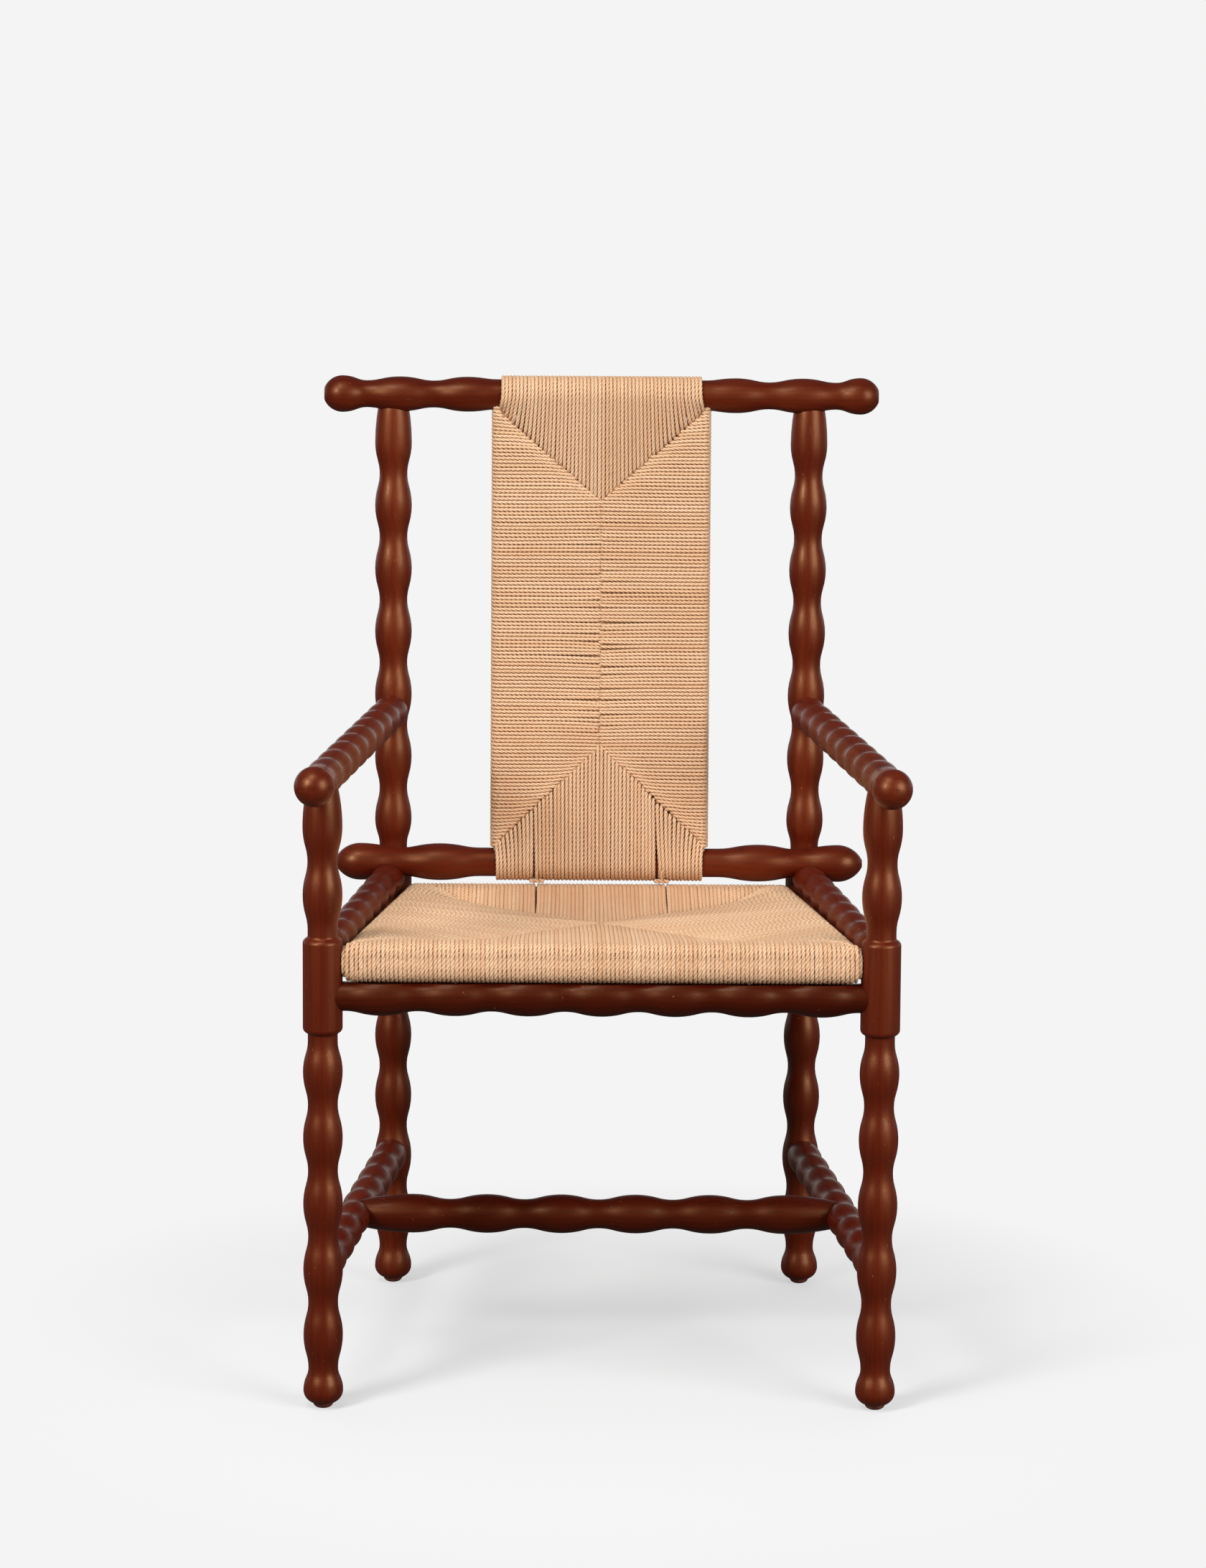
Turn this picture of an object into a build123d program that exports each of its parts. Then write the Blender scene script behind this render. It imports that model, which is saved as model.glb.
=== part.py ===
from build123d import *
import os
from math import atan, cos, hypot, radians, sin, sqrt

# Armchair with a lathe-turned frame, a loose woven seat and a woven back panel.
# Millimetres. +Z is up, the sitter faces -Y, and the origin is on the floor under the
# middle of the chair. Left and right are as seen from the front, so right is +X.

# ---- Plan and heights of the frame
front_post_spacing = 554.6
rear_post_spacing = 447.2
post_depth = 450.0
crest_height = 981.0
back_rail_height = 474.6
arm_front_height = 640.0
arm_rear_height = 637.0
side_rail_front_height = 461.0
side_rail_rear_height = 457.0
stretcher_front_height = 143.2
stretcher_rear_height = 146.8
cross_stretcher_from_front = 200.0

# ---- How far some rails stand in front of the rear posts' axes
crest_set_forward = 5.0
back_rail_set_forward = 26.0
rear_rail_set_forward = 8.0

# ---- Turning of the posts
bulge_radius = 19.8
valley_radius = 14.9
collar_radius = 19.85
collar_top = 475.0
front_collar_length = 85.4
shoulder_length = 8.0
neck_length = 14.0
glide_height = 6.0
foot_flat_radius = 13.0
foot_ball_radius = 20.0
foot_ball_height = 17.6
foot_neck_height = 40.6
leg_first_bulge = 74.5
leg_pitch = 67.5
leg_bulges = 5
front_top_bulges = (523.2, 592.0)
rear_first_top_bulge = 517.4
rear_top_pitch = 68.6
rear_top_bulges = 7
post_top_radius = 13.4
broad_share = 0.6

# ---- Turning of the rails, stretchers and arms
crest_half_length = 297.4
crest_ball_centre = 278.0
crest_ball_radius = 19.75
crest_end_flat = 7.0
crest_pitch = 72.0
crest_bulge_radius = 18.8
crest_valley_radius = 14.5
crest_wrapped_radius = 16.3
back_rail_half_length = 285.0
back_rail_bulge_offset = 172.1
back_rail_pitch = 86.3
back_rail_bulge_radius = 20.0
back_rail_valley_radius = 15.2
back_rail_wrapped_radius = 15.5
back_rail_end_flat = 4.0
seat_rail_pitch = 73.0
seat_rail_bulge_radius = 19.7
seat_rail_valley_radius = 15.0
rear_rail_pitch = 72.0
side_rail_pitch = 50.0
side_rail_bulge_radius = 17.5
side_rail_valley_radius = 13.6
last_side_rail_bulge_from_post = 49.0
side_stretcher_pitch = 48.4
side_stretcher_bulge_radius = 18.0
side_stretcher_valley_radius = 14.0
last_stretcher_bulge_from_post = 32.2
cross_pitch = 77.4
cross_bulge_radius = 20.1
cross_valley_radius = 15.0
cross_end_radius = 12.6
arm_pitch = 51.8
last_arm_bulge_from_post = 23.2
arm_bulge_radius = 18.6
arm_valley_radius = 14.5
arm_ball_radius = 20.15
arm_ball_reach = 46.0
arm_groove_setback = 12.5
arm_groove_depth = 1.7
arm_neck_radius = 16.4

# ---- Joints
joint_gap = 0.2
tenon_radius = 9.0
arm_tenon_radius = 8.0
cross_tenon_radius = 7.0
tenon_clearance = 0.15
tenon_past_axis = 5.0
mortise_floor = 1.0
tenon_root = 34.0

# ---- Woven seat on its slip frame
cord = 4.1
seat_overhang = 15.0
seat_front_top = 478.3
seat_thickness = 42.0
seat_short_of_posts = 6.0
seat_drop = 26.3
seat_inside_front_posts = 19.8
seat_inside_rear_posts = 15.6
seat_edge_radius = 9.0
seat_corner_radius = 11.0
seat_bearing_gap = 0.3
seat_rail_flat_below_bulges = 6.0
slip_rail_width = 24.0
slip_gap = 0.2
dish_edge_inset = 26.0
dish_flat_inset = 112.0
seat_web_thickness = 6.0
dowel_radius = 3.0
dowel_length = 32.0
dowel_clearance = 0.1
dowel_half_spread = 8.0

# ---- Woven back panel on its stiles
panel_half_width = 118.2
wrap_half_width = 112.0
stile_width = 22.0
stile_thickness = 19.0
stile_edge_radius = 4.0
stile_tenon_radius = 5.0
stile_tenon_length = 9.0
wrap_gap = 0.2
panel_edge_radius = 8.0
panel_seam_thickness = 10.0
panel_seam_width = 6.0
panel_mitre_reach = 114.0
panel_dish_inset = 22.0
panel_foot = 16.4
panel_head_gap = 10.4
wrap_run_out = 60.0
tie_offset = 68.0
tie_radius = 2.6
tie_half_length = 5.0
tie_angle = 53.0

# ---- Glides and screws
glide_radius = 10.3
glide_flat_radius = 6.0
glide_pin_radius = 2.4
glide_pin_length = 14.0
screw_radius = 2.1
screw_head_radius = 4.2
screw_head_height = 2.8
screw_hole_radius = 2.3
pilot_radius = 2.2
seat_screw_offset = 146.0
seat_screw_bite = 18.0
counterbore_radius = 5.0
counterbore_depth = 9.0
back_counterbore_depth = 5.0
back_screw_bite = 12.0
back_screw_rise = 6.0

# ---- Places worked out from the sizes above
front_y = (arm_ball_reach + arm_ball_radius - post_depth - collar_radius) / 2
rear_y = front_y + post_depth
front_x = front_post_spacing / 2
rear_x = rear_post_spacing / 2
crest_y = rear_y - crest_set_forward
back_rail_y = rear_y - back_rail_set_forward
side_run = hypot(post_depth, front_x - rear_x)

seat_depth = post_depth - seat_short_of_posts
seat_front_half_width = front_x - seat_inside_front_posts
seat_back_half_width = rear_x - seat_inside_rear_posts
seat_slope = atan(seat_drop / seat_depth)
seat_front_y = front_y - seat_overhang
seat_plane = Plane(
    origin=(0, seat_front_y, seat_front_top - seat_thickness / 2),
    x_dir=(1, 0, 0),
    z_dir=(0, sin(seat_slope), cos(seat_slope)),
)
seat_taper = (seat_front_half_width - seat_back_half_width) / seat_depth


def seat_point(x, along, up):
    """Where a point of the seat's own frame lies: across, back from its front face, and up."""
    return seat_plane.from_local_coords(Vector(x, along, up))


# A flat along the top of the front rail and the rear rail's front shoulder carry the seat.
underside = seat_point(0, seat_overhang, -seat_thickness / 2)
bearing = seat_rail_bulge_radius + seat_bearing_gap
front_bearing = bearing - seat_rail_flat_below_bulges
front_rail_height = underside.Z - front_bearing / cos(seat_slope)
rear_rail_y = rear_y - rear_rail_set_forward
heel = seat_point(0, seat_depth - seat_edge_radius, seat_edge_radius - seat_thickness / 2)
rear_rail_height = heel.Z - sqrt((bearing + seat_edge_radius) ** 2 - (rear_rail_y - heel.Y) ** 2)


# ---- Lathe work
def waves(first, pitch, count, high, low):
    """Crests of a wavy turning and the valleys between them, as (position, radius)."""
    points = [(first, high)]
    for step in range(1, count):
        points += [(first + (step - 0.5) * pitch, low), (first + step * pitch, high)]
    return points


def reflected(points):
    """The same turning points on the other side of the middle, in running order."""
    return [(-position, radius) for position, radius in reversed(points)]


def ease(start, end, way):
    """An arc that leaves the start level with the axis, or a line if both radii are equal."""
    if abs(start[1] - end[1]) < 0.001:
        Line(start, end)
    else:
        TangentArc(start, end, tangent=(way, 0))


def turned_half(head, runs, tail, grow=0.0):
    """Fills half of a turning's outline in the open sketch: x along the axis, y the radius.

    Each run is a list of crests and valleys joined by tangent arcs. Straight slopes join one
    run to the next, and a rounded nose runs from the outer crests to the head and the tail.
    """
    head, tail = (head[0] - grow, head[1] + grow), (tail[0] + grow, tail[1] + grow)
    runs = [[(position, radius + grow) for position, radius in run] for run in runs]
    with BuildLine() as outline:
        Line((head[0], 0), head)
        ease(runs[0][0], head, -1)
        for index, run in enumerate(runs):
            if index:
                Line(runs[index - 1][-1], run[0])
            for (x0, r0), (x1, r1) in zip(run, run[1:]):
                share = broad_share if r0 > r1 else 1 - broad_share
                meet = (x0 + (x1 - x0) * share, r0 + (r1 - r0) * share)
                ease((x0, r0), meet, 1)
                ease((x1, r1), meet, -1)
        ease(runs[-1][-1], tail, 1)
        Line(tail, (tail[0], 0))
        Line((tail[0], 0), (head[0], 0))
    make_face(outline.edges())


def lathe(plane, head, runs, tail, grow=0.0):
    """A turned blank whose axis is the plane's x direction."""
    with BuildPart() as blank:
        with BuildSketch(plane):
            turned_half(head, runs, tail, grow)
        revolve(axis=Axis(plane.origin, plane.x_dir))
    return blank.part


def axis_plane(start, end):
    """A plane from the start of a turning, with x along it."""
    along = Vector(*end) - Vector(*start)
    side = Vector(0, 1, 0) if abs(along.Z) > abs(along.X) + abs(along.Y) else Vector(0, 0, 1)
    return Plane(origin=start, x_dir=along, z_dir=along.cross(side))


def along(point, toward, distance):
    """The point at a distance from one point on the line towards another."""
    start = Vector(*point)
    return start + (Vector(*toward) - start).normalized() * distance


def across(point, way):
    """A point of the right-hand side for way 1, or its mirror image for way -1."""
    return (way * point[0], *point[1:])


def pair(part):
    """A part and its mirror image on the other side of the chair."""
    return [part, mirror(part, about=Plane.YZ)]


def round_peg(point, toward, near, far, radius, mode=Mode.ADD):
    """Adds or cuts a cylinder on the line from a point towards another, between two distances."""
    direction = Vector(*toward) - Vector(*point)
    with Locations(Plane(origin=along(point, toward, near), z_dir=direction).location):
        Cylinder(radius, far - near, align=(Align.CENTER, Align.CENTER, Align.MIN), mode=mode)


def tenon(point, toward, radius=tenon_radius):
    """A round tenon on the rail that runs from a post's axis point towards its far end."""
    round_peg(point, toward, -tenon_past_axis, tenon_root, radius)


def mortise(point, toward, radius=tenon_radius):
    """The blind hole in a post for such a tenon."""
    deepest = -tenon_past_axis - mortise_floor
    round_peg(point, toward, deepest, tenon_root, radius + tenon_clearance, Mode.SUBTRACT)


# ---- Joint points, on the right-hand side
front_foot = (front_x, front_y, 0)
rear_foot = (rear_x, rear_y, 0)
front_rail_end = (front_x, front_y, front_rail_height)
rear_rail_end = (rear_x, rear_rail_y, rear_rail_height)
side_rail_front = (front_x, front_y, side_rail_front_height)
side_rail_rear = (rear_x, rear_y, side_rail_rear_height)
side_stretcher_front = (front_x, front_y, stretcher_front_height)
side_stretcher_rear = (rear_x, rear_y, stretcher_rear_height)
arm_front = (front_x, front_y, arm_front_height)
arm_rear = (rear_x, rear_y, arm_rear_height)
cross_share = cross_stretcher_from_front / post_depth
cross_end = (
    front_x + (rear_x - front_x) * cross_share,
    front_y + cross_stretcher_from_front,
    stretcher_front_height + (stretcher_rear_height - stretcher_front_height) * cross_share,
)

# ---- Turning points of the posts
leg = [(foot_ball_height, foot_ball_radius), (foot_neck_height, valley_radius)]
leg += waves(leg_first_bulge, leg_pitch, leg_bulges, bulge_radius, valley_radius)
front_collar_bottom = collar_top - front_collar_length
front_leg = leg + [
    (front_collar_bottom - neck_length, valley_radius),
    (front_collar_bottom - shoulder_length, valley_radius),
]
front_collar = [(front_collar_bottom, collar_radius), (collar_top, collar_radius)]
neck = [(collar_top + shoulder_length, valley_radius), (collar_top + neck_length, valley_radius)]
front_top = neck + waves(
    front_top_bulges[0],
    front_top_bulges[1] - front_top_bulges[0],
    len(front_top_bulges),
    bulge_radius,
    valley_radius,
)
rear_leg = leg[:-1] + [(leg[-1][0], collar_radius), (collar_top, collar_radius)]
rear_top = neck + waves(
    rear_first_top_bulge, rear_top_pitch, rear_top_bulges, bulge_radius, valley_radius
)
foot_end = (glide_height, foot_flat_radius)
front_post_end = (arm_front_height, post_top_radius)
rear_post_end = (crest_height, post_top_radius)

# ---- Turning points of the arms, with s from the front post's axis to the rear
arm_last = side_run - last_arm_bulge_from_post
arm_count = int((arm_last - 0.2 * arm_pitch) / arm_pitch) + 1
arm_first = arm_last - (arm_count - 1) * arm_pitch
groove = arm_groove_setback - arm_ball_reach
arm_runs = [
    [(-arm_ball_reach, arm_ball_radius), (groove - 1.6, arm_bulge_radius)],
    [(groove, arm_bulge_radius - arm_groove_depth)],
    [(groove + 1.6, arm_bulge_radius), (arm_first - 0.5 * arm_pitch, arm_neck_radius)]
    + waves(arm_first, arm_pitch, arm_count, arm_bulge_radius, arm_valley_radius),
]
arm_tip = (-arm_ball_reach - arm_ball_radius + 0.6, 4.0)
arm_end = (side_run, arm_valley_radius)

# ---- Turning points of the rails and stretchers
crest_waves = waves(2 * crest_pitch, crest_pitch, 2, crest_bulge_radius, crest_valley_radius)
crest_side = (
    [(wrap_half_width, crest_wrapped_radius)]
    + crest_waves
    + [(crest_waves[-1][0] + crest_pitch / 2, crest_valley_radius)]
    + [(crest_ball_centre, crest_ball_radius)]
)
crest_tip = (crest_half_length, crest_end_flat)
back_rail_side = [
    (wrap_half_width, back_rail_wrapped_radius),
    (back_rail_bulge_offset - back_rail_pitch / 2, back_rail_wrapped_radius),
] + waves(
    back_rail_bulge_offset, back_rail_pitch, 2, back_rail_bulge_radius, back_rail_valley_radius
)
back_rail_tip = (back_rail_half_length, back_rail_end_flat)


def rail_side(pitch, half_length, high, low):
    """Crests and valleys from the middle crest of a rail out to the last one it has room for."""
    points = [(0.0, high)]
    while points[-1][0] + pitch / 2 < half_length - 1:
        points.append((points[-1][0] + pitch / 2, low if points[-1][1] == high else high))
    return points


front_rail_side = rail_side(seat_rail_pitch, front_x, seat_rail_bulge_radius, seat_rail_valley_radius)
rear_rail_side = rail_side(rear_rail_pitch, rear_x, seat_rail_bulge_radius, seat_rail_valley_radius)
cross_side = rail_side(
    cross_pitch, cross_end[0] - cross_pitch / 3, cross_valley_radius, cross_bulge_radius
)


def both_sides(side):
    """A whole symmetrical run from the points of its right half."""
    mirrored_points = reflected(side)
    if abs(side[0][0]) < 0.001:
        mirrored_points = mirrored_points[:-1]
    return mirrored_points + side


def side_member(last, pitch, high, low):
    """Crests of a member between a front and a rear post, counted back from the last crest."""
    count = int(last / pitch) + 1
    return waves(last - (count - 1) * pitch, pitch, count, high, low)


side_rail_run = side_member(
    side_run - last_side_rail_bulge_from_post,
    side_rail_pitch,
    side_rail_bulge_radius,
    side_rail_valley_radius,
)
side_stretcher_run = side_member(
    side_run - last_stretcher_bulge_from_post,
    side_stretcher_pitch,
    side_stretcher_bulge_radius,
    side_stretcher_valley_radius,
)

# ---- Blanks, and the same blanks a joint's gap larger for cutting what meets them
crest_plane = Plane(origin=(0, crest_y, crest_height), x_dir=(1, 0, 0), z_dir=(0, -1, 0))
back_rail_plane = Plane(origin=(0, back_rail_y, back_rail_height), x_dir=(1, 0, 0), z_dir=(0, -1, 0))
front_post_plane = axis_plane(front_foot, (front_x, front_y, arm_front_height))
rear_post_plane = axis_plane(rear_foot, (rear_x, rear_y, crest_height))
arm_plane = axis_plane(arm_front, arm_rear)
side_rail_plane = axis_plane(side_rail_front, side_rail_rear)
side_stretcher_plane = axis_plane(side_stretcher_front, side_stretcher_rear)

front_post_form = (foot_end, [front_leg + front_collar + front_top], front_post_end)
rear_post_form = (foot_end, [rear_leg + rear_top], rear_post_end)
arm_form = (arm_tip, arm_runs, arm_end)
crest_form = ((-crest_tip[0], crest_tip[1]), [both_sides(crest_side)], crest_tip)
back_rail_form = (
    (-back_rail_tip[0], back_rail_tip[1]),
    [both_sides(back_rail_side)],
    back_rail_tip,
)
side_stretcher_form = (
    (0.0, side_stretcher_valley_radius),
    [side_stretcher_run],
    (side_run, side_stretcher_valley_radius),
)
side_rail_form = (
    (0.0, side_rail_bulge_radius),
    [side_rail_run],
    (side_run, side_rail_valley_radius),
)

front_post_blank = lathe(front_post_plane, *front_post_form)
front_post_space = lathe(front_post_plane, *front_post_form, grow=joint_gap)
rear_post_blank = lathe(rear_post_plane, *rear_post_form)
rear_post_space = lathe(rear_post_plane, *rear_post_form, grow=joint_gap)
arm_blank = lathe(arm_plane, *arm_form)
arm_space = lathe(arm_plane, *arm_form, grow=joint_gap)
crest_blank = lathe(crest_plane, *crest_form)
crest_space = lathe(crest_plane, *crest_form, grow=joint_gap)
back_rail_blank = lathe(back_rail_plane, *back_rail_form)
back_rail_space = lathe(back_rail_plane, *back_rail_form, grow=joint_gap)
side_rail_blank = lathe(side_rail_plane, *side_rail_form)
side_rail_space = lathe(side_rail_plane, *side_rail_form, grow=joint_gap)
side_stretcher_blank = lathe(side_stretcher_plane, *side_stretcher_form)
side_stretcher_space = lathe(side_stretcher_plane, *side_stretcher_form, grow=joint_gap)

front_rail_plane = Plane(origin=(0, front_y, front_rail_height), x_dir=(1, 0, 0), z_dir=(0, -1, 0))
rear_rail_plane = Plane(origin=(0, rear_rail_y, rear_rail_height), x_dir=(1, 0, 0), z_dir=(0, -1, 0))
cross_plane = Plane(origin=(0, *cross_end[1:]), x_dir=(1, 0, 0), z_dir=(0, -1, 0))
front_rail_blank = lathe(
    front_rail_plane,
    (-front_x, front_rail_side[-1][1]),
    [both_sides(front_rail_side)],
    (front_x, front_rail_side[-1][1]),
)
rear_rail_blank = lathe(
    rear_rail_plane,
    (-rear_x, rear_rail_side[-1][1]),
    [both_sides(rear_rail_side)],
    (rear_x, rear_rail_side[-1][1]),
)
cross_blank = lathe(
    cross_plane,
    (-cross_end[0], cross_end_radius),
    [both_sides(cross_side)],
    (cross_end[0], cross_end_radius),
)

# ---- Posts
with BuildPart() as front_post_right:
    add(front_post_blank)
    add(arm_space, mode=Mode.SUBTRACT)
    tenon(arm_front, front_foot, arm_tenon_radius)
    mortise(front_rail_end, (0, front_y, front_rail_height))
    mortise(side_rail_front, side_rail_rear)
    mortise(side_stretcher_front, side_stretcher_rear)
    glide_bore = glide_pin_radius + tenon_clearance
    round_peg(front_foot, arm_front, 0, glide_height + glide_pin_length + 1, glide_bore, Mode.SUBTRACT)

# Screws run from behind the rear posts into the lower back rail.
back_screw_tip = (
    rear_x,
    rear_y - valley_radius - back_screw_bite,
    back_rail_height + back_screw_rise,
)
back_screw_head = (
    rear_x,
    rear_y + valley_radius - back_counterbore_depth,
    back_rail_height + back_screw_rise,
)
back_screw_length = back_screw_head[1] - back_screw_tip[1]

with BuildPart() as rear_post_right:
    add(rear_post_blank)
    add(crest_space, mode=Mode.SUBTRACT)
    tenon((rear_x, rear_y, crest_height), rear_foot, arm_tenon_radius)
    mortise(arm_rear, arm_front, arm_tenon_radius)
    mortise(side_rail_rear, side_rail_front)
    mortise(side_stretcher_rear, side_stretcher_front)
    mortise(rear_rail_end, (0, rear_rail_y, rear_rail_height))
    round_peg(rear_foot, arm_rear, 0, glide_height + glide_pin_length + 1, glide_bore, Mode.SUBTRACT)
    round_peg(back_screw_tip, back_screw_head, 0, back_screw_length, screw_hole_radius, Mode.SUBTRACT)
    round_peg(back_screw_head, back_screw_tip, -collar_radius, 0, counterbore_radius, Mode.SUBTRACT)

with BuildPart() as front_post_left:
    mirror(front_post_right.part, about=Plane.YZ)

with BuildPart() as rear_post_left:
    mirror(rear_post_right.part, about=Plane.YZ)

# ---- Arms, side rails and stretchers
with BuildPart() as arm_right:
    add(arm_blank)
    add(rear_post_space, mode=Mode.SUBTRACT)
    tenon(arm_rear, arm_front, arm_tenon_radius)
    mortise(arm_front, front_foot, arm_tenon_radius)

with BuildPart() as side_seat_rail_right:
    add(side_rail_blank)
    add(front_post_space, mode=Mode.SUBTRACT)
    add(rear_post_space, mode=Mode.SUBTRACT)
    tenon(side_rail_front, side_rail_rear)
    tenon(side_rail_rear, side_rail_front)

with BuildPart() as side_stretcher_right:
    add(side_stretcher_blank)
    add(front_post_space, mode=Mode.SUBTRACT)
    add(rear_post_space, mode=Mode.SUBTRACT)
    tenon(side_stretcher_front, side_stretcher_rear)
    tenon(side_stretcher_rear, side_stretcher_front)
    mortise(cross_end, (0, *cross_end[1:]), cross_tenon_radius)

with BuildPart() as arm_left:
    mirror(arm_right.part, about=Plane.YZ)

with BuildPart() as side_seat_rail_left:
    mirror(side_seat_rail_right.part, about=Plane.YZ)

with BuildPart() as side_stretcher_left:
    mirror(side_stretcher_right.part, about=Plane.YZ)

# ---- Rails that run from side to side
# Each seat screw runs from its counterbore, through a seat rail's axis, into the slip frame.
# With each line goes the distance from the rail's axis to the seat.
seat_screw_setback = counterbore_depth - seat_rail_bulge_radius
seat_screw_lines = []
for way in (1, -1):
    front_axis = (way * seat_screw_offset, front_y, front_rail_height)
    above = Vector(*front_axis) + seat_plane.z_dir
    seat_screw_lines.append((front_axis, tuple(above), front_bearing))
    rear_axis = (way * seat_screw_offset, rear_rail_y, rear_rail_height)
    seat_screw_lines.append((rear_axis, (way * seat_screw_offset, heel.Y, heel.Z), bearing))


def screw_tip(seat_distance):
    """How far past the rail's axis a seat screw's tip lies."""
    return seat_distance + cord + slip_gap + seat_screw_bite


def screw_bore(axis_point, seatward, _):
    """Cuts a seat screw's clearance hole and counterbore through the rail it starts in."""
    reach = seat_rail_bulge_radius + 1
    round_peg(axis_point, seatward, -reach, reach, screw_hole_radius, Mode.SUBTRACT)
    round_peg(axis_point, seatward, -reach, seat_screw_setback, counterbore_radius, Mode.SUBTRACT)


with BuildPart() as front_seat_rail:
    add(front_rail_blank)
    add(pair(front_post_space), mode=Mode.SUBTRACT)
    flat = Plane(front_rail_plane.origin, x_dir=(1, 0, 0), z_dir=seat_plane.z_dir)
    split(bisect_by=flat.offset(front_bearing - seat_bearing_gap), keep=Keep.BOTTOM)
    for way in (1, -1):
        tenon(across(front_rail_end, way), across(front_rail_end, -way))
    for line in seat_screw_lines[0::2]:
        screw_bore(*line)

with BuildPart() as rear_seat_rail:
    add(rear_rail_blank)
    add(pair(rear_post_space), mode=Mode.SUBTRACT)
    for way in (1, -1):
        tenon(across(rear_rail_end, way), across(rear_rail_end, -way))
    for line in seat_screw_lines[1::2]:
        screw_bore(*line)

with BuildPart() as cross_stretcher:
    add(cross_blank)
    add(pair(side_stretcher_space), mode=Mode.SUBTRACT)
    for way in (1, -1):
        tenon(across(cross_end, way), across(cross_end, -way), cross_tenon_radius)

# ---- Frame of the back panel, in the plane through the axes of its two rails
panel_rise = Vector(0, crest_y - back_rail_y, crest_height - back_rail_height)
panel_length = panel_rise.length
panel_plane = Plane(
    origin=(0, back_rail_y, back_rail_height),
    x_dir=(1, 0, 0),
    z_dir=Vector(1, 0, 0).cross(panel_rise),
)
panel_section = Plane(origin=panel_plane.origin, x_dir=(1, 0, 0), z_dir=panel_rise)
stile_x = panel_half_width - cord - stile_width / 2
stile_foot = (stile_x, back_rail_y, back_rail_height)
stile_head = (stile_x, crest_y, crest_height)
stile_tenon_root = stile_tenon_length + crest_wrapped_radius


def stile_tenons(way, radius, depth, mode):
    """Adds a stile's two round tenons, or cuts their holes in the rails."""
    foot, head = across(stile_foot, way), across(stile_head, way)
    shallow = back_rail_wrapped_radius - depth
    round_peg(foot, head, shallow, stile_tenon_root, radius, mode)
    shallow = crest_wrapped_radius - depth
    round_peg(head, foot, shallow, stile_tenon_root, radius, mode)


stile_bore = (
    stile_tenon_radius + tenon_clearance,
    stile_tenon_length + mortise_floor,
    Mode.SUBTRACT,
)

with BuildPart() as crest_rail:
    add(crest_blank)
    for way in (1, -1):
        post_head = across((rear_x, rear_y, crest_height), way)
        mortise(post_head, across(rear_foot, way), arm_tenon_radius)
        stile_tenons(way, *stile_bore)

with BuildPart() as lower_back_rail:
    add(back_rail_blank)
    add(pair(rear_post_space), mode=Mode.SUBTRACT)
    add(pair(side_rail_space), mode=Mode.SUBTRACT)
    for way in (1, -1):
        stile_tenons(way, *stile_bore)
        tip, head = across(back_screw_tip, way), across(back_screw_head, way)
        round_peg(tip, head, -mortise_floor, back_screw_length, pilot_radius, Mode.SUBTRACT)

with BuildPart() as panel_stile_right:
    with BuildSketch(panel_section):
        with Locations((stile_x, 0)):
            RectangleRounded(stile_width, stile_thickness, stile_edge_radius)
    extrude(amount=panel_length)
    add([crest_space, back_rail_space], mode=Mode.SUBTRACT)
    stile_tenons(1, stile_tenon_radius, stile_tenon_length, Mode.ADD)

with BuildPart() as panel_stile_left:
    mirror(panel_stile_right.part, about=Plane.YZ)

# ---- Slip frame of the seat


def seat_outline(inset):
    """Corners of the seat's outline, drawn in by an inset, in the seat's own frame."""
    slant = hypot(1, seat_taper) * inset
    front = seat_front_half_width - seat_taper * inset - slant
    back = seat_back_half_width + seat_taper * inset - slant
    return [
        (-front, inset),
        (front, inset),
        (back, seat_depth - inset),
        (-back, seat_depth - inset),
    ]


def seat_slab(inset, thickness, corner, edge):
    """Fills the seat's outline, drawn in by an inset, as a slab with rounded corners and edges."""
    with BuildPart() as slab:
        with BuildSketch(seat_plane.offset(-thickness / 2)) as outline:
            with BuildLine():
                Polyline(*seat_outline(inset), close=True)
            make_face()
            if corner:
                fillet(outline.vertices(), corner)
        extrude(amount=thickness)
        if edge:
            broad_faces = slab.faces().filter_by(Axis((0, 0, 0), tuple(seat_plane.z_dir)))
            fillet(broad_faces.edges(), edge)
    return slab.part


slip_inset = cord + slip_gap
slip_inner = slip_inset + slip_rail_width
slip_thickness = seat_thickness - 2 * slip_inset
slip_corner = seat_corner_radius - slip_inset
slip_edge = seat_edge_radius - slip_inset

with BuildPart() as slip_ring:
    add(seat_slab(slip_inset, slip_thickness, slip_corner, slip_edge))
    add(seat_slab(slip_inner, slip_thickness + 2, 0, 0), mode=Mode.SUBTRACT)
    for start, end, skin in seat_screw_lines:
        round_peg(start, end, skin, screw_tip(skin) + mortise_floor, pilot_radius, Mode.SUBTRACT)

# Two round dowels hold each butt joint of the slip frame.
front_joint = seat_outline(slip_inner)[1]
rear_joint = seat_outline(slip_inner)[2]
half_rail = hypot(1, seat_taper) * slip_rail_width / 2
dowel_places = []
for way in (1, -1):
    for up in (dowel_half_spread, -dowel_half_spread):
        for corner_x, corner_y in (front_joint, rear_joint):
            dowel_places.append((way * (corner_x + half_rail), corner_y, up))


def dowel_pegs(radius, length, mode):
    """Adds the dowels, or cuts their holes, on the joint lines of the slip frame."""
    for place in dowel_places:
        middle = seat_point(*place)
        round_peg(middle, middle + seat_plane.y_dir, -length / 2, length / 2, radius, mode)


dowel_hole = (dowel_radius + dowel_clearance, dowel_length + 2 * mortise_floor, Mode.SUBTRACT)
front_cut = Plane(origin=seat_point(0, slip_inner, 0), z_dir=seat_plane.y_dir)
rear_cut = Plane(origin=seat_point(0, seat_depth - slip_inner, 0), z_dir=seat_plane.y_dir)

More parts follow.
